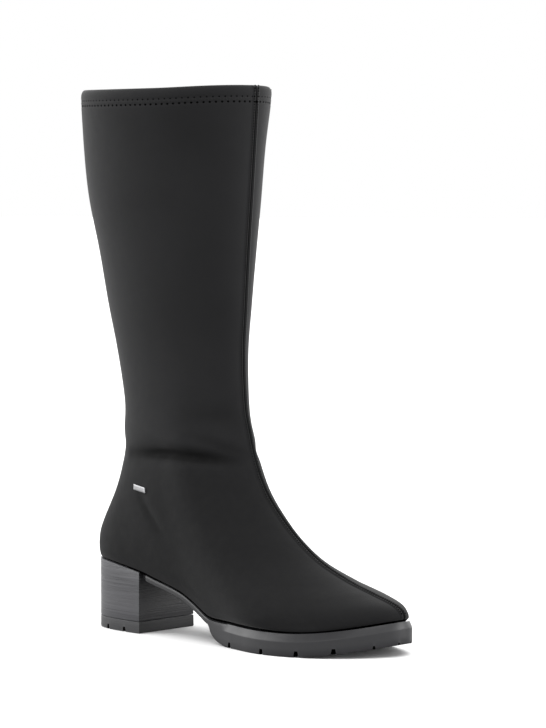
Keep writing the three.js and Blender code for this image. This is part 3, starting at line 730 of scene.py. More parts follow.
def lining_material(name, colour):
    """Knitted lining: close rows of loops, as two crossed waves."""
    nodes = Nodes(name, colour, 0.92)
    knit = nodes.add(
        "ShaderNodeTexVoronoi", {"Vector": nodes.place, "Scale": 1100.0, "Randomness": 0.35}
    ).outputs["Distance"]
    normal = nodes.bump(knit, 0.0002, 0.5)
    paint = nodes.blend_colour(nodes.noise(90, 3), shade(colour, 0.8), shade(colour, 1.2))
    return nodes.finish(Base_Color=paint, Normal=normal, Sheen_Weight=0.2)


def rubber_material(name, colour, roughness, coat=0.0):
    """Moulded rubber: slight unevenness of the mould, dusty specks and a little uneven polish."""
    nodes = Nodes(name, colour, roughness)
    fine = nodes.noise(1500, 3.0, 0.6)
    broad = nodes.noise(60, 4.0, 0.6)
    normal = nodes.bump(fine, 0.00008, 0.35)
    normal = nodes.bump(broad, 0.0006, 0.12, normal)
    gloss = nodes.ramp(broad, 0.3, 0.7, roughness - 0.07, roughness + 0.09)
    paint = nodes.blend_colour(nodes.noise(240, 4.0, 0.7), shade(colour, 0.88), shade(colour, 1.14))
    return nodes.finish(
        Base_Color=paint, Normal=normal, Roughness=gloss, Coat_Weight=coat, Coat_Roughness=0.25,
    )


def heel_material(name, colour, roughness):
    """Heel cover: fine level grain lines, drawn out round the heel, with a satin polish."""
    nodes = Nodes(name, colour, roughness)
    line = nodes.noise(60, 5.0, 0.62, stretch=(0.35, 0.35, 16.0))
    streak = nodes.noise(26, 3.0, 0.55, stretch=(0.5, 0.5, 9.0))
    normal = nodes.bump(line, 0.0003, 0.6)
    gloss = nodes.ramp(line, 0.3, 0.7, roughness - 0.08, roughness + 0.12)
    grain = nodes.math("ADD", nodes.math("MULTIPLY", line, 0.6), nodes.math("MULTIPLY", streak, 0.4))
    grain = nodes.ramp(grain, 0.36, 0.64, 0, 1)
    paint = nodes.blend_colour(grain, shade(colour, 0.72), shade(colour, 1.28))
    return nodes.finish(Base_Color=paint, Normal=normal, Roughness=gloss)


def tape_material(name, colour):
    """Woven zip tape: fine ribs across a thread ground."""
    nodes = Nodes(name, colour, 0.85)
    rib = nodes.noise(900, 2.0, 0.5, stretch=(1.0, 1.0, 1.6))
    normal = nodes.bump(rib, 0.00015, 0.5)
    paint = nodes.blend_colour(rib, shade(colour, 0.8), shade(colour, 1.25))
    return nodes.finish(Base_Color=paint, Normal=normal, Sheen_Weight=0.15)


def thread_material(name, colour):
    """Sewing thread: twisted plies seen as fine slanting bands."""
    nodes = Nodes(name, colour, 0.6)
    ply = nodes.noise(2600, 1.0)
    normal = nodes.bump(ply, 0.00006, 0.6)
    paint = nodes.blend_colour(ply, shade(colour, 0.75), shade(colour, 1.25))
    return nodes.finish(Base_Color=paint, Normal=normal, Sheen_Weight=0.1)


def painted_shade_material(name, colour):
    """Painted shade, matt and nearly black: in needle holes, inside tread notches and on the cut edge tucked
    in against the sole.
    """
    nodes = Nodes(name, colour, 1.0)
    fibre = nodes.noise(2000, 2.0)
    paint = nodes.blend_colour(fibre, shade(colour, 0.7), shade(colour, 1.3))
    return nodes.finish(Base_Color=paint, Specular_IOR_Level=0.0)


def metal_material(name, colour, roughness, brushed=(1.0, 1.0, 1.0), strength=0.25):
    """Metal with a fine brushed grain and small marks."""
    nodes = Nodes(name, colour, roughness)
    grain = nodes.noise(900, 3.0, 0.6, stretch=brushed)
    marks = nodes.noise(300, 4.0, 0.7)
    normal = nodes.bump(grain, 0.00004, strength)
    gloss = nodes.ramp(marks, 0.3, 0.7, roughness - 0.06, roughness + 0.1)
    paint = nodes.blend_colour(grain, shade(colour, 0.85), shade(colour, 1.1))
    return nodes.finish(Base_Color=paint, Normal=normal, Roughness=gloss, Metallic=1.0)


def length_property(name, about, default):
    return FloatProperty(name=name, description=about, default=default, min=0, unit="LENGTH", precision=5)


def colour_property(name, about, default):
    return FloatVectorProperty(name=name, description=about, default=default, min=0, max=1, subtype="COLOR")


class BootSizes(bpy.types.PropertyGroup):
    """Sizes of the finish."""

    seam_height: length_property("Seam height", "How far the centre seam stands up", 0.5 * MM)
    crease_depth: length_property("Crease depth", "Depth of the deepest crease", 4.8 * MM)
    unevenness: length_property("Unevenness", "Slow waves of the shaft's cloth", 0.35 * MM)
    stitch_pitch: length_property("Stitch pitch", "From one seam stitch to the next", 1.8 * MM)
    hem_pitch: length_property("Hem pitch", "Length of one zigzag of the hem", 4.1 * MM)
    thread: length_property("Thread", "Radius of the sewing thread", 0.24 * MM)
    coil_pitch: length_property("Coil pitch", "From one turn of the zip's coil to the next", 1.25 * MM)
    grain: length_property("Nap grain", "Size of the cloth's nap", 0.45 * MM)


# How much paler than the solids' plain colours the cloth, the heel and the sole are
CLOTH_PALER = 1.15
HEEL_PALER = 3.7
SOLE_PALER = 1.6


def paler(slot, factor):
    return shade(slot_colours[slot], factor)


class BootColours(bpy.types.PropertyGroup):
    """Colours of the finish."""

    upper: colour_property("Upper", "Stretch cloth", paler("upper_cloth", CLOTH_PALER))
    lining: colour_property("Lining", "Inside of the shaft", slot_colours["insole_cloth"])
    thread: colour_property("Thread", "Seams and hem", (0.004, 0.004, 0.004))
    sole: colour_property("Sole", "Rubber of the forepart and waist", paler("sole_rubber", SOLE_PALER))
    heel: colour_property("Heel", "Heel block", paler("heel_block", HEEL_PALER))
    top_lift: colour_property("Top lift", "Rubber under the heel", paler("top_lift_rubber", HEEL_PALER))
    tape: colour_property("Zip tape", "Woven tape", slot_colours["zip_tape_cloth"])
    coil: colour_property("Zip coil", "Teeth", slot_colours["zip_coil"])
    metal: colour_property("Zip metal", "Slider and pull tab", slot_colours["zip_metal"])
    tag: colour_property("Tag", "Metal plate", slot_colours["tag_metal"])


# Upper's grid: columns beside the centre seam and beside the slot, with the fold at the slot's edges, and
# rows below the collar
SEAM_STOPS = np.array([0.25, 0.5, 0.8, 1.2, 1.7, 2.2, 2.6, 2.95, 3.3, 3.8, 4.5]) * MM
EDGE_STOPS = np.array([7.0, 5.0, 3.4, 2.2, 1.3, 0.7, 0.3, 0.0]) * MM
EDGE_LIFTS = np.array([0.0, 0.0, 0.0, -0.06, -0.02, 0.0, -0.15, -0.6]) * MM
SLOT_STOPS = 3
FRONT_COLUMNS = 40
REAR_COLUMNS = 126
FOOT_ROWS = 112
SHAFT_ROWS = 92
HEM_STOPS = np.array([5.8, 6.3, 6.7, 7.4, 8.1, 9.1, 10.1, 10.8, 11.5, 12.4, 13.4, 14.6]) * MM

# Rolled rim in millimetres: drop below the collar and lift off the face
RIM = ((5.0, 0.0), (3.6, -0.1), (2.4, -0.38), (1.4, -0.82), (0.6, -1.4), (0.15, -2.0), (0.0, -2.5),
       (0.15, -2.9), (0.7, -3.25), (1.6, -3.4))

# Rows of cloth turned over inside the rim, rows below the slot's foot over which its fold starts, and
# how many ring numbers the hem's step takes
TURNED_OVER = 3
FOLD_ROWS = 3
HEM_STEP = 0.03

# The cloth's lowest edge, tucked in against the sole, takes nearly black painted shade up to this ring
# number. Painted shade darkens the cloth by these shares over the lasted foot, darker towards the bottom, and
# in the seam's groove.
DARK_EDGE = 0.40
LASTED_SHADE = 0.5
GROOVE_SHADE = 0.8
CLOTH, LINING, DARK = range(3)


def upper_columns(level):
    """Angles of the columns on each row: close together across the centre seam and along both edges of
    the zip's slot, evenly spread between them. The last value says where the slot's columns start."""
    zip_at = zip_turn_at(level)
    zip_pace = frames(level, zip_at)["pace"]
    front_pace = frames(level, 0 * level)["pace"]
    seam = SEAM_STOPS / front_pace
    half = SLOT_WIDTH / 2
    front_side = zip_at - (half + EDGE_STOPS) / zip_pace
    rear_side = zip_at + (half + EDGE_STOPS[::-1]) / zip_pace
    across = np.linspace(-half, half, SLOT_STOPS + 2)[1:-1]
    slot = zip_at + across / zip_pace
    shares = np.linspace(0, 1, FRONT_COLUMNS + 2)[1:-1]
    between = mix(seam[:, -1:], front_side[:, :1], shares)
    shares = np.linspace(0, 1, REAR_COLUMNS + 2)[1:-1]
    round_back = mix(rear_side[:, -1:], 2 * np.pi - seam[:, -1:], shares)
    far_seam = 2 * np.pi - seam[:, ::-1]
    turns = np.concatenate([0 * level, seam, between, front_side, slot, rear_side, round_back, far_seam], 1)
    first = 1 + seam.shape[1] + between.shape[1] + front_side.shape[1] - 1
    return turns, first


def edge_fold(columns, first):
    """Lift that folds the cloth down at the two edges of the zip's slot."""
    lift = np.zeros(columns)
    count = len(EDGE_STOPS)
    lift[first - count + 1:first + 1] = EDGE_LIFTS
    second = first + SLOT_STOPS + 1
    lift[second:second + count] = EDGE_LIFTS[::-1]
    return lift


def upper_levels():
    """Ring numbers of the rows up the outside: the foot's, the shaft's, the hem's and the rim's first."""
    foot = np.linspace(0, ANKLE_LEVEL, FOOT_ROWS)
    rim = float(level_of(BOOT_HEIGHT - RIM[0][0] * MM, 0.0))
    shaft = np.linspace(ANKLE_LEVEL, rim, SHAFT_ROWS)[1:]
    hem = level_of(BOOT_HEIGHT - HEM_STOPS, 0.0)
    shaft = shaft[shaft < hem.min() - 0.03]
    return np.sort(np.concatenate([foot, shaft, hem, [rim]]))


def rim_rows(turns, sizes):
    rows = []
    for drop, lift in RIM[1:-1]:
        level = float(level_of(BOOT_HEIGHT - drop * MM, 0.0))
        rows.append(on_upper(np.full((1, 1), level), turns, lift * MM, sizes)["point"])
    return rows


def margin_rows(turns):
    """Rows in under the foot: from the wall's inner edge along the lasting margin and back below it."""
    rows = []
    for set_in, rise in ((UPPER_WALL, UPPER_WALL), (LASTING_MARGIN, UPPER_WALL), (LASTING_MARGIN, 0.0)):
        edge = inset(turns, ledge(turns) + set_in)
        rows.append(np.concatenate([edge, feather(edge[:, :1]) + rise], 1)[None])
    return rows


def slot_walls(rows, columns, width):
    """Faces that close the slot between its first and last row, outside and inside: along both edges
    and at its foot. rows and columns are those first and last numbers, width the grid's columns."""
    loop = np.arange(rows[0], rows[1] + 1) * width
    k = np.arange(len(loop) // 2)
    back = loop[::-1]
    edge = np.stack([loop[k], loop[k + 1], back[k + 1], back[k]], -1)
    edge = edge[edge[:, 1] != edge[:, 2]]
    across = np.arange(*columns)
    low = rows[0] * width + across
    high = rows[1] * width + across
    foot = np.stack([low, low + 1, high + 1, high], -1)
    return np.concatenate([edge + columns[0], (edge + columns[1])[:, ::-1], foot])


def cloth_shade_share(levels, turns, point):
    """How much painted shade the cloth takes: over the lasted foot, darker towards the bottom, in the seam's
    groove and in the creases' troughs.
    """
    lasted = LASTED_SHADE * smooth(point[..., 2], 180 * MM, 80 * MM)
    across = np.abs(wrapped(turns)) * frames(levels, 0 * levels)["pace"]
    groove = GROOVE_SHADE * bell(across / (0.7 * MM))
    return np.clip(lasted + groove - crease_lift(point), 0, 1)


def make_upper(sizes, *materials):
    """The upper as one closed wall. Rows of points run up the outside, over the rolled rim, down the
    inside and in under the foot, and join the first row again; columns run round the leg. The faces of
    the zip's slot are left out and its edges and foot are closed from outside to inside."""
    levels = upper_levels()
    count = len(levels)
    turns, slot_first = upper_columns(levels[:, None])
    columns = turns.shape[1]
    face = on_upper(levels[:, None], turns, 0.0, sizes)
    foot_row = int(np.argmax(face["point"][:, slot_first, 2] > ZIP_FOOT))
    fold = edge_fold(columns, slot_first) * smooth(np.arange(count), foot_row - FOLD_ROWS, foot_row)[:, None]
    skin = face["point"] + face["out"] * fold[..., None]
    rim = rim_rows(turns[-1:], sizes)

    inside = levels >= 1
    hem_level = float(level_of(BOOT_HEIGHT - HEM_HEIGHT, 0.0))
    hem = smooth(levels[inside], hem_level - HEM_STEP / 2, hem_level + HEM_STEP / 2)
    wall = mix(UPPER_WALL, HEM_WALL, hem)[:, None, None]
    lining_points = (face["point"][inside] - face["out"][inside] * wall)[::-1]

    margin = margin_rows(turns[0])
    points = np.concatenate([skin, *rim, lining_points, *margin])
    rows = len(points)
    faces = grid_faces(rows, columns, wrap_rows=True, wrap_columns=True)
    lining_row = count + len(rim)
    foot_inside = lining_row + count - 1 - foot_row
    slot_last = slot_first + SLOT_STOPS + 1
    band = faces[:, 0] // columns
    column = faces[:, 0] % columns
    in_slot = (column >= slot_first) & (column < slot_last) & (band >= foot_row) & (band < foot_inside)
    faces = faces[~in_slot]
    band = band[~in_slot]
    walls = slot_walls((foot_row, foot_inside), (slot_first, slot_last), columns)
    piece = make_mesh("boot_upper", points, turned_out(points.reshape(-1, 3), [faces, walls]))

    # Painted shade over the lasted foot, in the seam's groove and in the creases' troughs, kept on the points
    # for the cloth's material
    painted_cloth_shade = np.zeros((rows, columns))
    painted_cloth_shade[:count] = cloth_shade_share(levels[:, None], turns, face["point"])
    piece.data.attributes.new("painted_cloth_shade", "FLOAT", "POINT").data.foreach_set("value", painted_cloth_shade.ravel())
    finish_piece(piece, "upper_cloth", *materials, replaces=("upper",))
    margin_row = rows - len(margin)
    paint = np.full(len(piece.data.polygons), CLOTH, np.int32)
    paint[:len(faces)][(band >= lining_row + TURNED_OVER) & (band < margin_row)] = LINING
    # Painted shade: the nearly black material on the cloth's lowest edge against the sole; the lasting margin
    # under the foot takes it too
    paint[:len(faces)][(levels[np.minimum(band, count - 1)] < DARK_EDGE) | (band >= margin_row)] = DARK
    piece.data.polygons.foreach_set("material_index", paint)


def walk(level, turn, pitch, sizes):
    """Stops in the middle of equal steps along a line on the upper, with each stop's point, direction
    along the line and outward normal."""
    face = on_upper(level, turn, 0.0, sizes)
    reach = reach_along(face["point"])
    count = max(int(reach[-1] / pitch), 1)
    stops = (np.arange(count) + 0.5) * reach[-1] / count
    out = unit(read_at(stops, reach, face["out"]))
    direction = read_at(stops, reach, unit(np.gradient(face["point"], axis=0)))
    direction = unit(direction - out * (direction * out).sum(-1, keepdims=True))
    return read_at(stops, reach, face["point"]), direction, out


def stamp(shape, blocks, origins, direction, out):
    """Copies of a small shape, given as steps along, outwards and sideways, at each stop."""
    side = np.cross(direction, out)
    axes = np.stack([direction, out, side], 1)
    points = origins[:, None, :] + np.einsum("kj,njx->nkx", shape, axes)
    shift = (np.arange(len(origins)) * len(shape))[:, None, None]
    return points.reshape(-1, 3), [(block[None] + shift).reshape(-1, block.shape[1]) for block in blocks]


def stitch_shape(length, radius, sink, rings=6):
    """One stitch: a round thread along an arc, its ends drawn down into the cloth."""
    sides = 6
    cosines, sines = circle(sides)
    s = np.linspace(-1, 1, rings)[:, None]
    thick = radius * np.clip(1.02 - s**2, 0.04, 1) ** 0.25
    rise = radius * 0.35 - sink * s**2
    along_it = np.broadcast_to(s * length / 2, (rings, sides))
    points = np.stack([along_it, rise + thick * sines, thick * cosines], -1).reshape(-1, 3)
    return points, barrel(points, rings, sides)


def hole_shape(radius):
    """A needle hole's mouth, for the nearly black painted shade in the hole: a low dome sunk to its rim."""
    sides = 8
    cosines, sines = circle(sides)
    rings = []
    for share, height in ((1.0, -0.25), (0.85, 0.15), (0.35, 0.25)):
        rings.append(np.stack([cosines * share, np.full(sides, height), sines * share], -1))
    points = np.concatenate(rings) * radius
    return points, barrel(points, len(rings), sides)


def joined(parts):
    """Several point and face sets as one."""
    points = []
    blocks = []
    start = 0
    for some_points, some_blocks in parts:
        points.append(some_points)
        blocks += [block + start for block in some_blocks]
        start += len(some_points)
    return np.concatenate(points), blocks


# Stitching: length of a stitch as a share of its step, needle holes as shares of the thread's radius,
# rows beside the zip's slot, and how far from the zip the hem's zigzag starts
STITCH_SHARE = 0.65
SEAM_HOLE = 2.5
HEM_HOLES = (2.6, 3.7)
ZIP_ROWS = (2.0 * MM, 5.0 * MM)
ZIP_STEP = 1.1
HEM_START = 0.085


def straight_rows(sizes):
    """Stitches and needle holes up the centre seam and along both sides of the zip."""
    stitch = stitch_shape(sizes.stitch_pitch * STITCH_SHARE, sizes.thread, sizes.thread * 1.3)
    hole = hole_shape(sizes.thread * SEAM_HOLE)
    stitches = []
    holes = []

    def row(level, turn, pitch):
        points, direction, out = walk(level, turn, pitch, sizes)
        stitches.append(stamp(*stitch, points, direction, out))
        holes.append(stamp(*hole, points + direction * pitch / 2, direction, out))

    level = np.linspace(0.7, TOP_LEVEL - 0.02, 900)
    front_pace = frames(level, 0 * level)["pace"]
    for side in (-1, 1):
        row(level, side * SEAM_ROW / front_pace, sizes.stitch_pitch)

    low = float(level_of(ZIP_FOOT - 2 * MM, zip_turn(ZIP_FOOT)))
    level = np.linspace(low, TOP_LEVEL - 0.1, 700)
    centre = zip_turn_at(level)
    pace = frames(level, centre)["pace"]
    for side in (-1, 1):
        for away in ZIP_ROWS:
            row(level, centre + side * (SLOT_WIDTH / 2 + away) / pace, sizes.stitch_pitch * ZIP_STEP)
    return stitches, holes


def hem_zigzag(sizes):
    """Stitches of the hem's zigzag and the needle holes at their ends, in two rows."""
    start = float(zip_turn(BOOT_HEIGHT)) + HEM_START
    turn = np.linspace(start, start + 2 * (np.pi - HEM_START), 900)
    rows = []
    for drop in HEM_ROWS:
        level = np.full(turn.shape, float(level_of(BOOT_HEIGHT - drop, 0.0)))
        rows.append(on_upper(level, turn, 0.0, sizes))
    reach = reach_along(rows[0]["point"])
    count = int(reach[-1] / sizes.hem_pitch) * 2
    stops = np.linspace(0, reach[-1], count + 1)
    in_upper_row = (np.arange(count + 1) % 2 == 0)[:, None]
    corner = np.where(in_upper_row, *(read_at(stops, reach, face["point"]) for face in rows))
    normal = np.where(in_upper_row, *(unit(read_at(stops, reach, face["out"])) for face in rows))
    step = corner[1:] - corner[:-1]
    direction = unit(step)
    length = float(np.linalg.norm(step, axis=1).mean())
    stitch = stitch_shape(length * 0.9, sizes.thread, sizes.thread * 1.2, rings=8)
    middle = (corner[1:] + corner[:-1]) / 2
    stitches = [stamp(*stitch, middle, direction, unit(normal[1:] + normal[:-1]))]
    holes = []
    for first, size in enumerate(HEM_HOLES):
        hole = hole_shape(sizes.thread * size)
        holes.append(stamp(*hole, corner[first:-1:2], direction[first::2], normal[first:-1:2]))
    return stitches, holes


def make_stitching(sizes, thread, painted_hole_shade):
    """Rows of stitches up the centre seam, along both sides of the zip and, as a zigzag, round the hem."""
    stitches, holes = straight_rows(sizes)
    hem_stitches, hem_holes = hem_zigzag(sizes)
    finish_piece(make_mesh("seam_stitches", *joined(stitches + hem_stitches)), "upper_cloth", thread)
    # Needle holes: nearly black discs of painted shade
    finish_piece(make_mesh("needle_holes", *joined(holes + hem_holes)), "upper_cloth", painted_hole_shade)


def side_turns(last, spacing, bottom):
    """Angles from the toe round to last, spread evenly along the sole's lower edge."""
    turn = np.linspace(0, last, 6000)
    edge = outline(turn)
    reach = reach_along(np.concatenate([edge, bottom(edge[:, 0])[:, None]], 1))
    return np.interp(even_stops(reach, spacing), reach, turn)


ARCH_FOOT = 0.56
ARCH_BEND = 0.485
ROOF_SHORT = 3.5 * MM
UPPER_HANDLE = 4 * MM
LOWER_HANDLE = (2 * MM, 2.2 * MM)


def arch_curve():
    """Front of the space under the waist, from its roof down to the floor: a cubic curve."""
    foot = heel_back + sole_length * ARCH_FOOT
    bend = heel_back + sole_length * ARCH_BEND
    roof_end = bend - ROOF_SHORT
    roof = float(feather(roof_end)) - WAIST
    handles = np.array([
        (roof_end, roof),
        (bend, roof - UPPER_HANDLE),
        (bend - LOWER_HANDLE[0], LOWER_HANDLE[1]),
        (foot, 0.0),
    ])
    t = np.linspace(0, 1, 400)[:, None]
    a, b, c, d = handles
    return (1 - t) ** 3 * a + 3 * (1 - t) ** 2 * t * b + 3 * (1 - t) * t**2 * c + t**3 * d


ARCH = arch_curve()


def sole_bottom(x):
    """Underside of the outsole: under the waist a waist's thickness below the feather line, then down
    the arch's curve to the floor, then the toe spring."""
    x = np.asarray(x, float)
    arch = np.interp(x, ARCH[:, 0], ARCH[:, 1])
    under = np.where(x < ARCH[0, 0], feather(x) - WAIST, arch)
    return np.where(x > ARCH[-1, 0], spring(x), under)


def pair_rings(turns, rings):
    """Closed rings from the toe down each side: medial points, then lateral points back to the toe.
    A ring is a pair of functions of the angle, for how far it is set in and for its height."""
    around = np.concatenate([turns, -turns[:0:-1]])
    rows = []
    for set_in, height in rings:
        edge = inset(around, set_in(around))
        rows.append(np.concatenate([edge, height(around, edge[:, 0])[:, None]], 1))
    return np.stack(rows)


def cap_faces(row, count):
    """Faces that close a ring by strips between the points that lie opposite each other."""
    i = np.arange(1, (count - 1) // 2)
    start = row * count
    strips = np.stack([start + i, start + i + 1, start + count - i - 1, start + count - i], -1)
    nose = np.array([[start, start + 1, start + count - 1]])
    return strips, nose


def closed_stack(rows, sharp, name):
    """A closed body over a stack of rings, with its first and last ring closed by strips."""
    count = rows.shape[1]
    strips_low, nose_low = cap_faces(0, count)
    strips_high, nose_high = cap_faces(len(rows) - 1, count)
    sides = grid_faces(len(rows), count, wrap_columns=True)
    points = rows.reshape(-1, 3)
    blocks = [sides, strips_low[:, ::-1], nose_low[:, ::-1], strips_high, nose_high]
    return make_mesh(name, points, turned_out(points, blocks), sharp)


NOTCH_WIDTH = 3.7 * MM
NOTCH_TOP = 2.3 * MM
NOTCH_HEIGHT = 3.8 * MM
NOTCH_DEPTH = 9 * MM
REACH = 5 * MM


def notch_section(size):
    """A notch across its channel: a trapezoid, widened below the floor so that it cuts clean."""
    foot = NOTCH_WIDTH * size / 2
    top = NOTCH_TOP * size / 2
    height = NOTCH_HEIGHT * size
    half = [(2 * foot, -REACH), (foot, 0.0), (top, height)]
    return np.array([(-x, z) for x, z in half] + half[::-1])


def cut_notches(piece, notches, inside):
    """Cuts the tread notches, square to the outline, and lines them with the piece's material of the number
    inside, the nearly black painted shade."""
    parts = []
    for from_toe, size in notches:
        section = notch_section(size)
        for side in (1, -1):
            turn = np.array(side * math.acos(1 - 2 * from_toe))
            edge = outline(turn)
            inwards = inset(turn, 1.0) - edge
            sideways = np.array([inwards[1], -inwards[0]])
            floor = float(spring(edge[0]))
            ends = []
            for depth in (-REACH, NOTCH_DEPTH):
                flat = edge + inwards * depth + sideways * section[:, :1]
                ends.append(np.concatenate([flat, floor + section[:, 1:]], 1))
            points = np.concatenate(ends)
            parts.append((points, barrel(points, len(ends), len(section))))
    cutter = make_mesh("notch_cutter", *joined(parts))
    cutter.data.polygons.foreach_set("material_index", np.full(len(cutter.data.polygons), inside, np.int32))
    cut = piece.modifiers.new("notches", "BOOLEAN")
    cut.operation = "DIFFERENCE"
    cut.solver = "EXACT"
    cut.object = cutter
    apply_modifiers(piece)
    bpy.data.objects.remove(cutter)


# Outsole: the bevel is crowned ahead of where it starts and almost square along the waist, and takes at
# most a share of the side, as the arris does
WAIST_EDGE = 0.5 * MM
BEVEL_START = 110 * MM
BEVEL_CROWN = 0.12 * MM
BEVEL_SHARE = 0.8
ARRIS_SHARE = 0.12


def waist_in(turn):
    """How far the waist is drawn in from the outline as it nears the heel."""
    return WAIST_SET_IN * smooth((1 - np.cos(turn)) / 2, 0.762, 0.770)


def make_outsole(rubber, glossy_shaded_bevel_rubber, dark):
    """Forepart and waist: rows go down a slightly rounded bevel, the straight side and a small arris to
    the underside, which follows the arch and the toe spring."""
    last = float(turn_at(heel_breast + GAP))
    turns = side_turns(last, 1.25 * MM, sole_bottom)

    def depth_row(bevel_share, side_share, extra_in=0.0):
        def height(turn, x):
            full = feather(x) - GAP - sole_bottom(x)
            bevel = np.minimum(BEVEL_DROP, BEVEL_SHARE * full)
            side = full - bevel - np.minimum(ARRIS, ARRIS_SHARE * full)
            return feather(x) - GAP - bevel_share * bevel - side_share * side

        def set_in(turn):
            x = outline(turn)[..., 0]
            full = feather(x) - GAP - sole_bottom(x)
            bevel = np.minimum(BEVEL_DROP, BEVEL_SHARE * full)
            down = bevel_share * bevel + side_share * (full - bevel)
            slope = np.clip(1 - down / BEVEL_DROP, 0, 1)
            upright = np.clip(1 - down / WAIST_EDGE, 0, 1) ** 2
            at_waist = smooth(x, BEVEL_START + 8 * MM, BEVEL_START)
            return ledge(turn) * mix(slope, upright, at_waist) + extra_in * (1 - at_waist) + waist_in(turn)

        return set_in, height

    def arris_row(share, rise):
        side_foot = depth_row(1, 1)[0]
        return (lambda turn: side_foot(turn) + share * ARRIS), (lambda turn, x: sole_bottom(x) + rise * ARRIS)

    rings = [depth_row(0, 0)]
    for share in (0.06, 0.3, 0.6, 0.9):
        rings.append(depth_row(share, 0, -BEVEL_CROWN * 4 * share * (1 - share)))
    rings += [depth_row(1, share) for share in (0.0, 0.06, 0.5, 1.0)]
    rings += [arris_row(0.3, 0.06), arris_row(1.0, 0.0)]
    rows = pair_rings(turns, rings)
    piece = closed_stack(rows, 30, "boot_outsole")
    bevel_faces = 5 * rows.shape[1]
    # The bevel's faces take a darker, glossier copy of the sole rubber: the coat gives its gloss, the darker
    # colour is painted shade
    index = np.zeros(len(piece.data.polygons), np.int32)
    index[:bevel_faces] = 1
    finish_piece(piece, "sole_rubber", rubber, glossy_shaded_bevel_rubber, dark, replaces=("outsole",))
    piece.data.polygons.foreach_set("material_index", index)
    cut_notches(piece, SOLE_NOTCHES, 2)
    piece.data.set_sharp_from_angle(angle=math.radians(30))


def turn_at(x):
    """Angle at which the outline reaches x, on either side."""
    return math.acos(1 - 2 * (toe_tip - x) / sole_length)


HEEL_STEP = 1 * MM


def heel_rows(rings):
    """Rings round the heel: from the heel's back along each side to the breast."""
    last = turn_at(heel_breast)
    turn = np.linspace(np.pi, last, 4000)
    edge = outline(turn)
    reach = reach_along(edge)
    turns = np.interp(even_stops(reach, HEEL_STEP), reach, turn)
    around = np.concatenate([turns, 2 * np.pi - turns[:0:-1]])
    rows = []
    for set_in, height in rings:
        edge = inset(around, np.full(around.shape, set_in))
        edge[:, 0] = np.minimum(edge[:, 0], heel_breast - set_in)
        rows.append(np.concatenate([edge, height(edge[:, 0])[:, None]], 1))
    return np.stack(rows)


def shade_breast(piece, number):
    """Gives the flat breast a darker copy of the piece's material: painted shade."""
    count = len(piece.data.polygons)
    normals = np.zeros(count * 3, np.float32)
    piece.data.polygons.foreach_get("normal", normals)
    index = np.zeros(count, np.int32)
    piece.data.polygons.foreach_get("material_index", index)
    ahead = normals.reshape(-1, 3)[:, 0] > 0.9
    piece.data.polygons.foreach_set("material_index", np.where(ahead & (index == 0), number, index))


def make_heel(cover, rubber, shaded_breast_cover, shaded_breast_rubber, dark):
    """The heel block and its top lift, each a stack of rings with a flat breast."""
    low = top_lift_top + GAP

    def block_row(share, set_in=0.0, drop=0.0):
        return set_in, lambda x: mix(feather(x) - GAP, low, share) - drop

    rings = [block_row(0, 0.45 * MM), block_row(0, 0.1 * MM, 0.12 * MM), block_row(0, 0.0, 0.45 * MM)]
    rings += [block_row(share) for share in (0.25, 0.5, 0.75)]
    rings += [block_row(1, 0.0, -0.35 * MM), block_row(1, 0.08 * MM, -0.08 * MM), block_row(1, 0.35 * MM)]
    block = closed_stack(heel_rows(rings), 40, "boot_heel")
    finish_piece(block, "heel_block", cover, shaded_breast_cover, replaces=("heel",))
    shade_breast(block, 1)
    round_edges(block, 0.35 * MM)

    rings = [
        (0.3 * MM, lambda x: 0 * x + top_lift_top),
        (0.0, lambda x: 0 * x + top_lift_top - 0.3 * MM),
        (0.0, lambda x: 0 * x + ARRIS),
        (0.25 * ARRIS, lambda x: 0 * x + 0.25 * ARRIS),
        (ARRIS, lambda x: 0 * x),
    ]
    lift = closed_stack(heel_rows(rings), 40, "boot_top_lift")
    finish_piece(lift, "top_lift_rubber", rubber, dark, shaded_breast_rubber, replaces=("top_lift",))
    cut_notches(lift, HEEL_NOTCHES, 1)
    shade_breast(lift, 2)
    lift.data.set_sharp_from_angle(angle=math.radians(40))


def make_insole(cloth):
    """The sheet under the foot: rings of the outline set in from the upper's inner face, with a soft
    rolled edge, over the feather surface."""
    low = UPPER_WALL + INSOLE_GAP
    edge = UPPER_WALL + INSOLE_CLEARANCE
    turns = side_turns(np.pi, 2.5 * MM, feather)[:-1]
    profile = ((0.0, 0.12), (0.25, 0.02), (1.2, 0.0), (2.0, 0.0))
    rings = []
    for set_in, drop in profile:
        rings.append((
            lambda turn, s=set_in: ledge(turn) + edge + s * MM,
            lambda turn, x, d=drop: feather(x) + low + INSOLE_THICKNESS * (1 - d),
        ))
    rings = rings[::-1]
    rings.append((lambda turn: ledge(turn) + edge, lambda turn, x: feather(x) + low + 0.2 * MM))
    rings.append((lambda turn: ledge(turn) + edge + 0.2 * MM, lambda turn, x: feather(x) + low))
    piece = closed_stack(pair_rings(turns, rings), 40, "boot_insole")
    finish_piece(piece, "insole_cloth", cloth, replaces=("insole",))


def zip_frames(low, high, spacing, lift):
    """Frames along the zip line from one height to another, equally spaced."""
    ends = [float(level_of(z, zip_turn(z))) for z in (low, high)]
    level = np.linspace(*ends, 1500)
    reach = reach_along(frames(level, zip_turn_at(level))["point"])
    level = np.interp(even_stops(reach, spacing), reach, level)
    face = frames(level, zip_turn_at(level))
    run = unit(np.gradient(face["point"], axis=0))
    side = unit(np.cross(run, face["out"]))
    out = np.cross(side, run)
    return {"point": face["point"] + out * lift(level)[:, None], "side": side, "out": out}


# Tape: stops across half its width short of its rim, where its thin edge starts, and the cord by the coil
TAPE_STOPS = np.array([0, 2.0, 2.6, 3.0, 3.4, 4.5, 7, 9.6]) * MM
TAPE_EDGE = 9.8 * MM
CORD_FROM_MIDDLE = 3.0 * MM
CORD_SIZE = 0.35 * MM


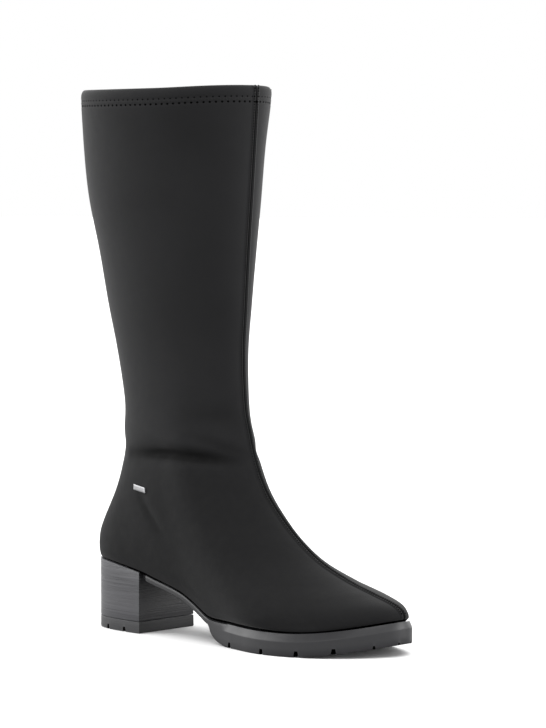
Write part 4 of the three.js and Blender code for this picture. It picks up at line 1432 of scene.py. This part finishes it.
def make_zip_tape(woven):
    """Tape behind the slot: a flat closed strip with a raised cord beside each row of coil."""
    hem_level = float(level_of(BOOT_HEIGHT - HEM_HEIGHT, 0.0))

    def depth(level):
        return -TAPE_GAP - mix(UPPER_WALL, HEM_WALL, smooth(level, hem_level - 0.12, hem_level - 0.04))

    path = zip_frames(ZIP_FOOT - SLOT_WIDTH, BOOT_HEIGHT - ARRIS, 2.0 * MM, depth)
    half = np.append(TAPE_STOPS, TAPE_WIDTH / 2)
    across = np.concatenate([-half[:0:-1], half])
    cord = CORD_SIZE * bell((np.abs(across) - CORD_FROM_MIDDLE) / CORD_SIZE)
    edge = np.where(np.abs(across) > TAPE_EDGE, -0.2 * MM, 0.0)
    top = path["point"][:, None] + path["side"][:, None] * across[None, :, None]
    face = top + path["out"][:, None] * (cord + edge)[None, :, None]
    back = top - path["out"][:, None] * (TAPE_THICKNESS + edge)[None, :, None]
    rows = np.concatenate([face, back[:, ::-1]], 1)
    count = rows.shape[1]
    i = np.arange(count // 2 - 1)
    ends = []
    for first, flip in ((0, 1), ((len(rows) - 1) * count, -1)):
        quad = np.stack([first + i, first + i + 1, first + count - 2 - i, first + count - 1 - i], -1)
        ends.append(quad[:, ::flip])
    points = rows.reshape(-1, 3)
    blocks = [grid_faces(len(rows), count, wrap_columns=True), *ends]
    piece = make_mesh("boot_zip_tape", points, turned_out(points, blocks), 40)
    finish_piece(piece, "zip_tape_cloth", woven, replaces=("zip_tape",))


def tube(path, normal, radius, sides):
    """A round wire along a line of points: a circle of points round each, in the plane of the normal
    and the direction square to it and the line."""
    run = unit(np.gradient(path, axis=0))
    side = unit(np.cross(run, normal))
    up = np.cross(side, run)
    cosines, sines = (values[None, :, None] for values in circle(sides))
    ring = cosines * side[:, None] + sines * up[:, None]
    points = (path[:, None] + radius * ring).reshape(-1, 3)
    return points, barrel(points, len(path), sides)


# Coil: points to a turn, depth below the outer face, the row's middle and half width, its half height and
# the wire's radius
COIL_STEPS = 10
COIL_DEPTH = 1.4 * MM
COIL_MIDDLE = 0.62 * MM
COIL_HALF_WIDTH = 1.12 * MM
COIL_HALF_HEIGHT = 0.34 * MM
COIL_WIRE = 0.26 * MM


def make_zip_coil(sizes, nylon):
    """Two interlocked coils: each a flattened helix beside the zip line, half a turn apart."""
    low = ZIP_FOOT + 2 * GAP
    high = BOOT_HEIGHT - 6 * MM
    path = zip_frames(low, high, sizes.coil_pitch / COIL_STEPS, lambda level: 0 * level - COIL_DEPTH)
    phase = np.arange(len(path["point"])) * 2 * np.pi / COIL_STEPS
    parts = []
    for side, shift in ((1, 0.0), (-1, np.pi)):
        angle = phase + shift
        across = side * (COIL_MIDDLE + COIL_HALF_WIDTH * np.cos(angle))
        out = COIL_HALF_HEIGHT * np.sin(angle)
        line = path["point"] + path["side"] * across[:, None] + path["out"] * out[:, None]
        radial = path["side"] * (side * np.cos(angle))[:, None] + path["out"] * np.sin(angle)[:, None]
        parts.append(tube(line, unit(radial), COIL_WIRE, 6))
    piece = make_mesh("boot_zip_coil", *joined(parts))
    finish_piece(piece, "zip_coil", nylon, replaces=("zip_teeth",))


def plate_with_hole(shape, hole, thickness, bevel):
    """A flat plate round a hole, as a ring of eight rows: out round the rim and back through the hole,
    with small bevels. shape and hole are loops of the same length; x and y lie in the plate."""
    middle = hole.mean(0)

    def row(loop, grow, height):
        flat = loop + unit(loop - middle) * grow
        return np.concatenate([flat, np.full((len(flat), 1), height)], 1)

    half = thickness / 2
    heights = (-half, bevel - half, half - bevel, half)
    grows = (-bevel, 0, 0, -bevel)
    rows = [row(shape, grow, height) for grow, height in zip(grows, heights)]
    rows += [row(hole, -grow, height) for grow, height in zip(grows, heights[::-1])]
    points = np.concatenate(rows)
    return points, turned_out(points, [grid_faces(8, len(shape), wrap_rows=True, wrap_columns=True)])


def round_bar(start, end, radius):
    """A short bar with chamfered ends."""
    sides = 16
    run = unit(end - start)
    helper = np.array([0.0, 0.0, 1.0]) if abs(run[2]) < 0.9 else np.array([1.0, 0.0, 0.0])
    first = unit(np.cross(run, helper))
    cosines, sines = (values[:, None] for values in circle(sides))
    ring = cosines * first + sines * np.cross(run, first)
    chamfer = 0.25 * radius
    points = np.concatenate([
        start + ring * (radius - chamfer),
        start + run * chamfer + ring * radius,
        end - run * chamfer + ring * radius,
        end + ring * (radius - chamfer),
    ])
    return points, barrel(points, 4, sides)


def zip_point(height):
    turn = float(zip_turn(height))
    return outer(float(level_of(height, turn)), turn)


def zip_axes():
    """Axes of the slider on the zip line: the hinge axis, outwards, and up the zip."""
    axis = unit(pull_axis)
    up = unit(zip_point(SLIDER_AT) - zip_point(SLIDER_AT - PULL_LENGTH))
    up = unit(up - axis * float(up @ axis))
    return axis, np.cross(up, axis), up


def set_in_place(points, place, axes):
    return place + points @ np.array(axes)


def loop_at_angles(half_width, low, high, centre_y, angles):
    """The tab's rim: where a ray from the hole's middle leaves a strip with a round lower end."""
    direction = np.stack([np.cos(angles), np.sin(angles)], -1)
    with np.errstate(divide="ignore"):
        to_side = np.abs(half_width / direction[:, 0])
        to_top = np.where(direction[:, 1] > 0, (high - centre_y) / direction[:, 1], np.inf)
    reach = np.minimum(to_side, to_top)
    point = direction * reach[:, None]
    middle = low + half_width - centre_y
    below = point[:, 1] < middle
    b = direction[:, 1] * middle
    c = middle * middle - half_width * half_width
    on_arc = b + np.sqrt(np.clip(b * b - c, 0, None))
    reach = np.where(below, on_arc, reach)
    return direction * reach[:, None] + np.array([0.0, centre_y])


SLIDER_AT = BOOT_HEIGHT - SLIDER_BELOW_COLLAR
TEETH_THICKNESS = 1.2 * MM
SLIDER_PLAY = 0.45 * MM
SLIDER_WIDTH = SLOT_WIDTH - 2 * SLIDER_PLAY
SLIDER_LENGTH = 9.5 * MM
SLIDER_THICKNESS = 0.8 * MM
SLIDER_LIFT = TEETH_THICKNESS - UPPER_WALL + SLIDER_PLAY
EAR_WALL = 0.5 * MM
EAR_THICKNESS = 0.7 * MM
PIN_RADIUS = 0.5 * MM
PIN_PLAY = 0.1 * MM
PULL_LENGTH = 16 * MM
PULL_WIDTH = SLIDER_WIDTH - 2 * (EAR_THICKNESS + GAP)
PULL_THICKNESS = 0.9 * MM
PULL_HOLE = 1 * MM
PULL_HOLE_FROM_END = 2.4 * MM


# Slider's plate: scale of its rim and height as a share of its thickness, from its foot to its crown
SLIDER_PROFILE = ((0.94, 0.0), (1.0, 0.14), (1.0, 0.62), (0.93, 0.88), (0.75, 1.0), (0.35, 1.0))


def slider_plate(axes):
    """A crowned plate with round corners, a tenth narrower at its lower end."""
    sides = 48
    rim = rounded_square(0.4, sides)
    narrowed = mix(0.9, 1.0, (rim[:, 1] + 1) / 2)
    rim = rim * np.stack([narrowed * SLIDER_WIDTH / 2, np.full(sides, SLIDER_LENGTH / 2)], -1)
    rows = []
    for scale, height in SLIDER_PROFILE:
        lift = np.full(sides, SLIDER_LIFT + height * SLIDER_THICKNESS)
        rows.append(np.stack([rim[:, 0] * scale, lift, rim[:, 1] * scale], -1))
    points = set_in_place(np.concatenate(rows), zip_point(SLIDER_AT), axes)
    return points, barrel(points, len(rows), sides)


def slider_ear(axes, side):
    """An ear beside the tab: a ring round the pin with a neck down to the plate."""
    ring = np.stack(circle(32), -1)
    bore = PIN_RADIUS + PIN_PLAY
    shape = ring * (bore + EAR_WALL)
    neck = ring[:, 1] > 0.3
    shape[neck, 1] = SLIDER_LENGTH * 0.12 + np.clip(shape[neck, 1], 0, None)
    shape[neck, 0] = np.clip(shape[neck, 0], -PULL_THICKNESS / 2, PULL_THICKNESS / 2)
    flat, blocks = plate_with_hole(shape, ring * bore, EAR_THICKNESS, 0.08 * MM)
    offset = side * (SLIDER_WIDTH - EAR_THICKNESS) / 2
    local = np.stack([flat[:, 2] + offset, flat[:, 0], flat[:, 1]], -1)
    points = set_in_place(local, pull_pin, axes)
    return points, turned_out(points, blocks)


def make_slider(metal):
    """Slider: its plate and an ear on each side of the tab's pin."""
    axes = zip_axes()
    parts = [slider_plate(axes), slider_ear(axes, -1), slider_ear(axes, 1)]
    piece = make_mesh("boot_zip_slider", *joined(parts), 35)
    finish_piece(piece, "zip_metal", metal, replaces=("zip_slider",))


def make_pull(metal):
    """Pull tab lying down along the zip from its pin, with a round lower end and a hole in it."""
    axes = zip_axes()
    angles = np.linspace(0, 2 * np.pi, 72, endpoint=False) + np.pi / 72
    centre_y = -PULL_LENGTH + PULL_HOLE_FROM_END
    hole = np.stack([np.cos(angles), np.sin(angles)], -1) * PULL_HOLE + np.array([0.0, centre_y])
    shape = loop_at_angles(PULL_WIDTH / 2, -PULL_LENGTH, PIN_RADIUS, centre_y, angles)
    flat, blocks = plate_with_hole(shape, hole, PULL_THICKNESS, 0.15 * MM)
    tab = set_in_place(np.stack([flat[:, 0], flat[:, 2], flat[:, 1]], -1), pull_pin, axes)
    half_pin = axes[0] * SLIDER_WIDTH / 2
    parts = [(tab, turned_out(tab, blocks)), round_bar(pull_pin - half_pin, pull_pin + half_pin, PIN_RADIUS)]
    piece = make_mesh("boot_zip_pull", *joined(parts), 35)
    finish_piece(piece, "zip_metal", metal, body="pull_tab", replaces=("zip_pull",))


TAG_BEVEL = 0.22 * MM


def make_tag(metal):
    """Plain metal plate bent to the ankle: rounded rectangles one inside another, each laid on the
    upper's face at its own lift."""
    turn = -np.pi / 2
    for _ in range(20):
        face = frames(level_of(TAG_ABOVE_FLOOR, turn), np.array(turn))
        turn += float((TAG_AHEAD - face["point"][0]) / (face["around"][0] * face["pace"]))
    pace = float(frames(level_of(TAG_ABOVE_FLOOR, turn), np.array(turn))["pace"])
    sides = 64
    rim = rounded_square(0.1, sides) * (TAG_WIDTH / 2, TAG_HEIGHT / 2)
    rows = []
    for set_in, lift in (
        (0.0, 0.0),
        (0.0, TAG_THICKNESS - TAG_BEVEL),
        (0.35 * TAG_BEVEL, TAG_THICKNESS - 0.3 * TAG_BEVEL),
        (TAG_BEVEL, TAG_THICKNESS),
        (1.2 * MM, TAG_THICKNESS),
        (1.9 * MM, TAG_THICKNESS),
    ):
        flat = rim - np.sign(rim) * np.minimum(np.abs(rim), set_in)
        at = turn + flat[:, 0] / pace
        face = frames(level_of(TAG_ABOVE_FLOOR + flat[:, 1] - TAG_TILT * flat[:, 0], at), at)
        rows.append(face["point"] + face["out"] * (GAP + lift))
    points = np.concatenate(rows)
    piece = make_mesh("boot_metal_tag", points, barrel(points, len(rows), sides), 30)
    finish_piece(piece, "tag_metal", metal, replaces=("metal_tag",))


# The photograph's view: the camera stands lateral and ahead of the boot, a little above its middle
CAMERA_PLACE = (1.5421, -1.6132, 0.2930)
CAMERA_AZIMUTH = 41.3
CAMERA_PITCH = 2.87
FOCAL_PIXELS = 3250
FRAME_HEIGHT_PIXELS = 728
SENSOR_SIZE = 36.0

# Light: how bright the surroundings are below, level with and above the boot, and the floor's own wash
LIGHT_BELOW = 0.05
LIGHT_LEVEL = 1.15
LIGHT_ABOVE = 0.35
FLOOR_WASH = 3.4

# Soft lamps: place, what they aim at, width and height, and power in watts
LAMPS = {
    "left_high_lamp": ((-0.98, -1.05, 1.75), (0.05, 0, 0.1), (0.5, 0.5), 2.5),
    "right_high_lamp": ((1.37, -0.37, 1.75), (0.1, 0, 0.1), (0.7, 0.5), 6),
    "left_low_lamp": ((-1.25, -1.40, 0.75), (0, 0, 0.25), (0.9, 1.2), 7.5),
    "right_low_lamp": ((1.75, 0.80, 0.45), (0.1, 0, 0.15), (0.9, 1.1), 9),
    "left_rear_lamp": ((-1.85, -0.50, 0.80), (0, 0, 0.25), (0.9, 1.1), 5),
    "right_rear_lamp": ((0.65, 1.80, 0.80), (0.1, 0, 0.15), (0.9, 1.1), 3),
}


def area_light(name, place, aim, size, power):
    light = bpy.data.lights.new(name, "AREA")
    light.shape = "RECTANGLE"
    light.size = size[0]
    light.size_y = size[1]
    light.energy = power
    lamp = bpy.data.objects.new(name, light)
    lamp.location = place
    lamp.rotation_euler = (Vector(aim) - Vector(place)).to_track_quat("-Z", "Y").to_euler()
    lamp.visible_camera = False
    bpy.context.scene.collection.objects.link(lamp)


def make_floor():
    """Pale floor with a wash of its own from a wide overhead sun, so that it is even and nearly white
    out to the horizon and keeps a soft contact shadow. It throws no light back at the boot."""
    half = 40.0
    corners = np.array([(-half, -half, 0), (half, -half, 0), (half, half, 0), (-half, half, 0)])
    floor = make_mesh("floor", corners, [np.array([[0, 1, 2, 3]])])
    paint = Nodes("floor_paint", (0.9, 0.9, 0.9), 1.0)
    floor.data.materials.append(paint.finish(Specular_IOR_Level=0.0))
    floor.visible_diffuse = False
    floor.visible_glossy = False
    floor.visible_shadow = False

    light = bpy.data.lights.new("floor_wash", "SUN")
    light.energy = FLOOR_WASH
    light.angle = math.radians(100)
    lamp = bpy.data.objects.new("floor_wash", light)
    bpy.context.scene.collection.objects.link(lamp)
    lit = bpy.data.collections.new("lit_by_floor_wash")
    lit.objects.link(floor)
    lamp.light_linking.receiver_collection = lit


def make_world():
    """White surroundings for the camera; as light they are dim below, brightest level with the boot and
    dimmer again overhead."""
    world = bpy.data.worlds.new("studio")
    world.use_nodes = True
    nodes = world.node_tree.nodes
    links = world.node_tree.links
    height = nodes.new("ShaderNodeSeparateXYZ")
    links.new(nodes.new("ShaderNodeTexCoord").outputs["Generated"], height.inputs[0])
    rise = nodes.new("ShaderNodeMapRange")
    rise.interpolation_type = "SMOOTHSTEP"
    below = nodes.new("ShaderNodeMapRange")
    below.interpolation_type = "SMOOTHSTEP"
    for node, low, high, start, end in (
        (below, -0.5, 0.1, LIGHT_BELOW, LIGHT_LEVEL),
        (rise, 0.3, 0.9, 0.0, LIGHT_ABOVE - LIGHT_LEVEL),
    ):
        for name, value in (("From Min", low), ("From Max", high), ("To Min", start), ("To Max", end)):
            node.inputs[name].default_value = value
        links.new(height.outputs["Z"], node.inputs["Value"])
    total = nodes.new("ShaderNodeMath")
    links.new(below.outputs["Result"], total.inputs[0])
    links.new(rise.outputs["Result"], total.inputs[1])
    seen = nodes.new("ShaderNodeMix")
    links.new(nodes.new("ShaderNodeLightPath").outputs["Is Camera Ray"], seen.inputs[0])
    links.new(total.outputs[0], seen.inputs[2])
    seen.inputs[3].default_value = 1.0
    links.new(seen.outputs[0], nodes["Background"].inputs["Strength"])
    nodes["Background"].inputs["Color"].default_value = (1, 1, 1, 1)
    bpy.context.scene.world = world


def make_stage():
    """Floor, surroundings, soft lamps to the left and right and the photograph's camera."""
    scene = bpy.context.scene
    make_floor()
    make_world()
    for name, lamp in LAMPS.items():
        area_light(name, *lamp)

    data = bpy.data.cameras.new("camera")
    data.sensor_width = SENSOR_SIZE
    data.lens = FOCAL_PIXELS * SENSOR_SIZE / FRAME_HEIGHT_PIXELS
    camera = bpy.data.objects.new("camera", data)
    camera.location = CAMERA_PLACE
    camera.rotation_euler = (math.radians(90 - CAMERA_PITCH), 0, math.radians(CAMERA_AZIMUTH))
    scene.collection.objects.link(camera)
    scene.camera = camera
    scene.view_settings.view_transform = "Standard"


class BOOT_OT_stage(bpy.types.Operator):
    """Makes the floor, the light and the camera"""

    bl_idname = "boot.stage"
    bl_label = "Stage"

    def execute(self, context):
        make_stage()
        return {"FINISHED"}


class BOOT_OT_upper(bpy.types.Operator):
    """Makes the upper with its seam, creases, hem and zip slot"""

    bl_idname = "boot.upper"
    bl_label = "Upper"

    def execute(self, context):
        sizes = context.scene.boot_sizes
        colours = context.scene.boot_colours
        cloth = cloth_material("stretch_cloth", tuple(colours.upper), sizes.grain)
        lining = lining_material("knitted_lining", tuple(colours.lining))
        dark = painted_shade_material("shadowed_edge", shade(colours.thread, 0.5))
        make_upper(sizes, cloth, lining, dark)
        return {"FINISHED"}


class BOOT_OT_stitching(bpy.types.Operator):
    """Makes the seam stitches, the hem's zigzag and their needle holes"""

    bl_idname = "boot.stitching"
    bl_label = "Stitching"

    def execute(self, context):
        colour = tuple(context.scene.boot_colours.thread)
        thread = thread_material("sewing_thread", colour)
        # Nearly black painted shade for the needle holes
        painted_hole_shade = painted_shade_material("needle_hole", shade(colour, 0.5))
        make_stitching(context.scene.boot_sizes, thread, painted_hole_shade)
        return {"FINISHED"}


class BOOT_OT_insole(bpy.types.Operator):
    """Makes the insole"""

    bl_idname = "boot.insole"
    bl_label = "Insole"

    def execute(self, context):
        make_insole(lining_material("insole_cloth", tuple(context.scene.boot_colours.lining)))
        return {"FINISHED"}


class BOOT_OT_outsole(bpy.types.Operator):
    """Makes the outsole with its bevel, arch and tread notches"""

    bl_idname = "boot.outsole"
    bl_label = "Outsole"

    def execute(self, context):
        colours = context.scene.boot_colours
        rubber = rubber_material("sole_rubber", tuple(colours.sole), 0.4)
        # A darker, glossier copy of the sole rubber for the bevel: its darker colour is painted shade
        edge = rubber_material("sole_bevel_glossy_painted_shade", shade(colours.sole, 0.8), 0.34, coat=0.15)
        # The notches are lined with nearly black painted shade
        make_outsole(rubber, edge, painted_shade_material("sole_notch_shade", tuple(colours.thread)))
        return {"FINISHED"}


class BOOT_OT_heel(bpy.types.Operator):
    """Makes the heel block and its top lift"""

    bl_idname = "boot.heel"
    bl_label = "Heel"

    def execute(self, context):
        colours = context.scene.boot_colours
        cover = heel_material("heel_cover", tuple(colours.heel), 0.32)
        rubber = heel_material("top_lift_rubber", tuple(colours.top_lift), 0.38)
        # Darker copies for the breasts of the heel and the top lift: painted shade
        shaded_breast_cover = heel_material("heel_breast_painted_shade", shade(colours.heel, 0.3), 0.28)
        shaded_breast_rubber = heel_material("top_lift_breast_painted_shade", shade(colours.top_lift, 0.25), 0.4)
        # The top lift's notches are lined with nearly black painted shade
        dark = painted_shade_material("heel_notch_shade", tuple(colours.thread))
        make_heel(cover, rubber, shaded_breast_cover, shaded_breast_rubber, dark)
        return {"FINISHED"}


class BOOT_OT_zip(bpy.types.Operator):
    """Makes the zip: tape, coil, slider and pull tab"""

    bl_idname = "boot.zip"
    bl_label = "Zip"

    def execute(self, context):
        sizes = context.scene.boot_sizes
        colours = context.scene.boot_colours
        make_zip_tape(tape_material("woven_tape", tuple(colours.tape)))
        nylon = rubber_material("nylon_coil", tuple(colours.coil), 0.35)
        make_zip_coil(sizes, nylon)
        metal = metal_material("lacquered_metal", tuple(colours.metal), 0.35)
        make_slider(metal)
        make_pull(metal)
        return {"FINISHED"}


class BOOT_OT_tag(bpy.types.Operator):
    """Makes the plain metal plate at the ankle"""

    bl_idname = "boot.tag"
    bl_label = "Tag"

    def execute(self, context):
        colour = tuple(context.scene.boot_colours.tag)
        make_tag(metal_material("brushed_tag", colour, 0.32, (0.15, 0.15, 4.0), 0.5))
        return {"FINISHED"}


OPERATORS = (
    BOOT_OT_stage,
    BOOT_OT_upper,
    BOOT_OT_stitching,
    BOOT_OT_insole,
    BOOT_OT_outsole,
    BOOT_OT_heel,
    BOOT_OT_zip,
    BOOT_OT_tag,
)


class BOOT_PT_panel(bpy.types.Panel):
    """Lists the boot's pieces, sizes and colours"""

    bl_idname = "BOOT_PT_panel"
    bl_label = "Knee-high boot"
    bl_space_type = "VIEW_3D"
    bl_region_type = "UI"
    bl_category = "Boot"

    def draw(self, context):
        for operator in OPERATORS:
            self.layout.operator(operator.bl_idname)
        for group in (context.scene.boot_sizes, context.scene.boot_colours):
            for name in group.__annotations__:
                self.layout.prop(group, name)


CLASSES = (BootSizes, BootColours, *OPERATORS, BOOT_PT_panel)


def register():
    for each in CLASSES:
        bpy.utils.register_class(each)
    bpy.types.Scene.boot_sizes = PointerProperty(type=BootSizes)
    bpy.types.Scene.boot_colours = PointerProperty(type=BootColours)


def unregister():
    del bpy.types.Scene.boot_colours
    del bpy.types.Scene.boot_sizes
    for each in reversed(CLASSES):
        bpy.utils.unregister_class(each)


def main():
    register()
    bpy.ops.boot.stage()
    bpy.ops.boot.upper()
    bpy.ops.boot.stitching()
    bpy.ops.boot.insole()
    bpy.ops.boot.outsole()
    bpy.ops.boot.heel()
    bpy.ops.boot.zip()
    bpy.ops.boot.tag()


if __name__ == "__main__":
    main()
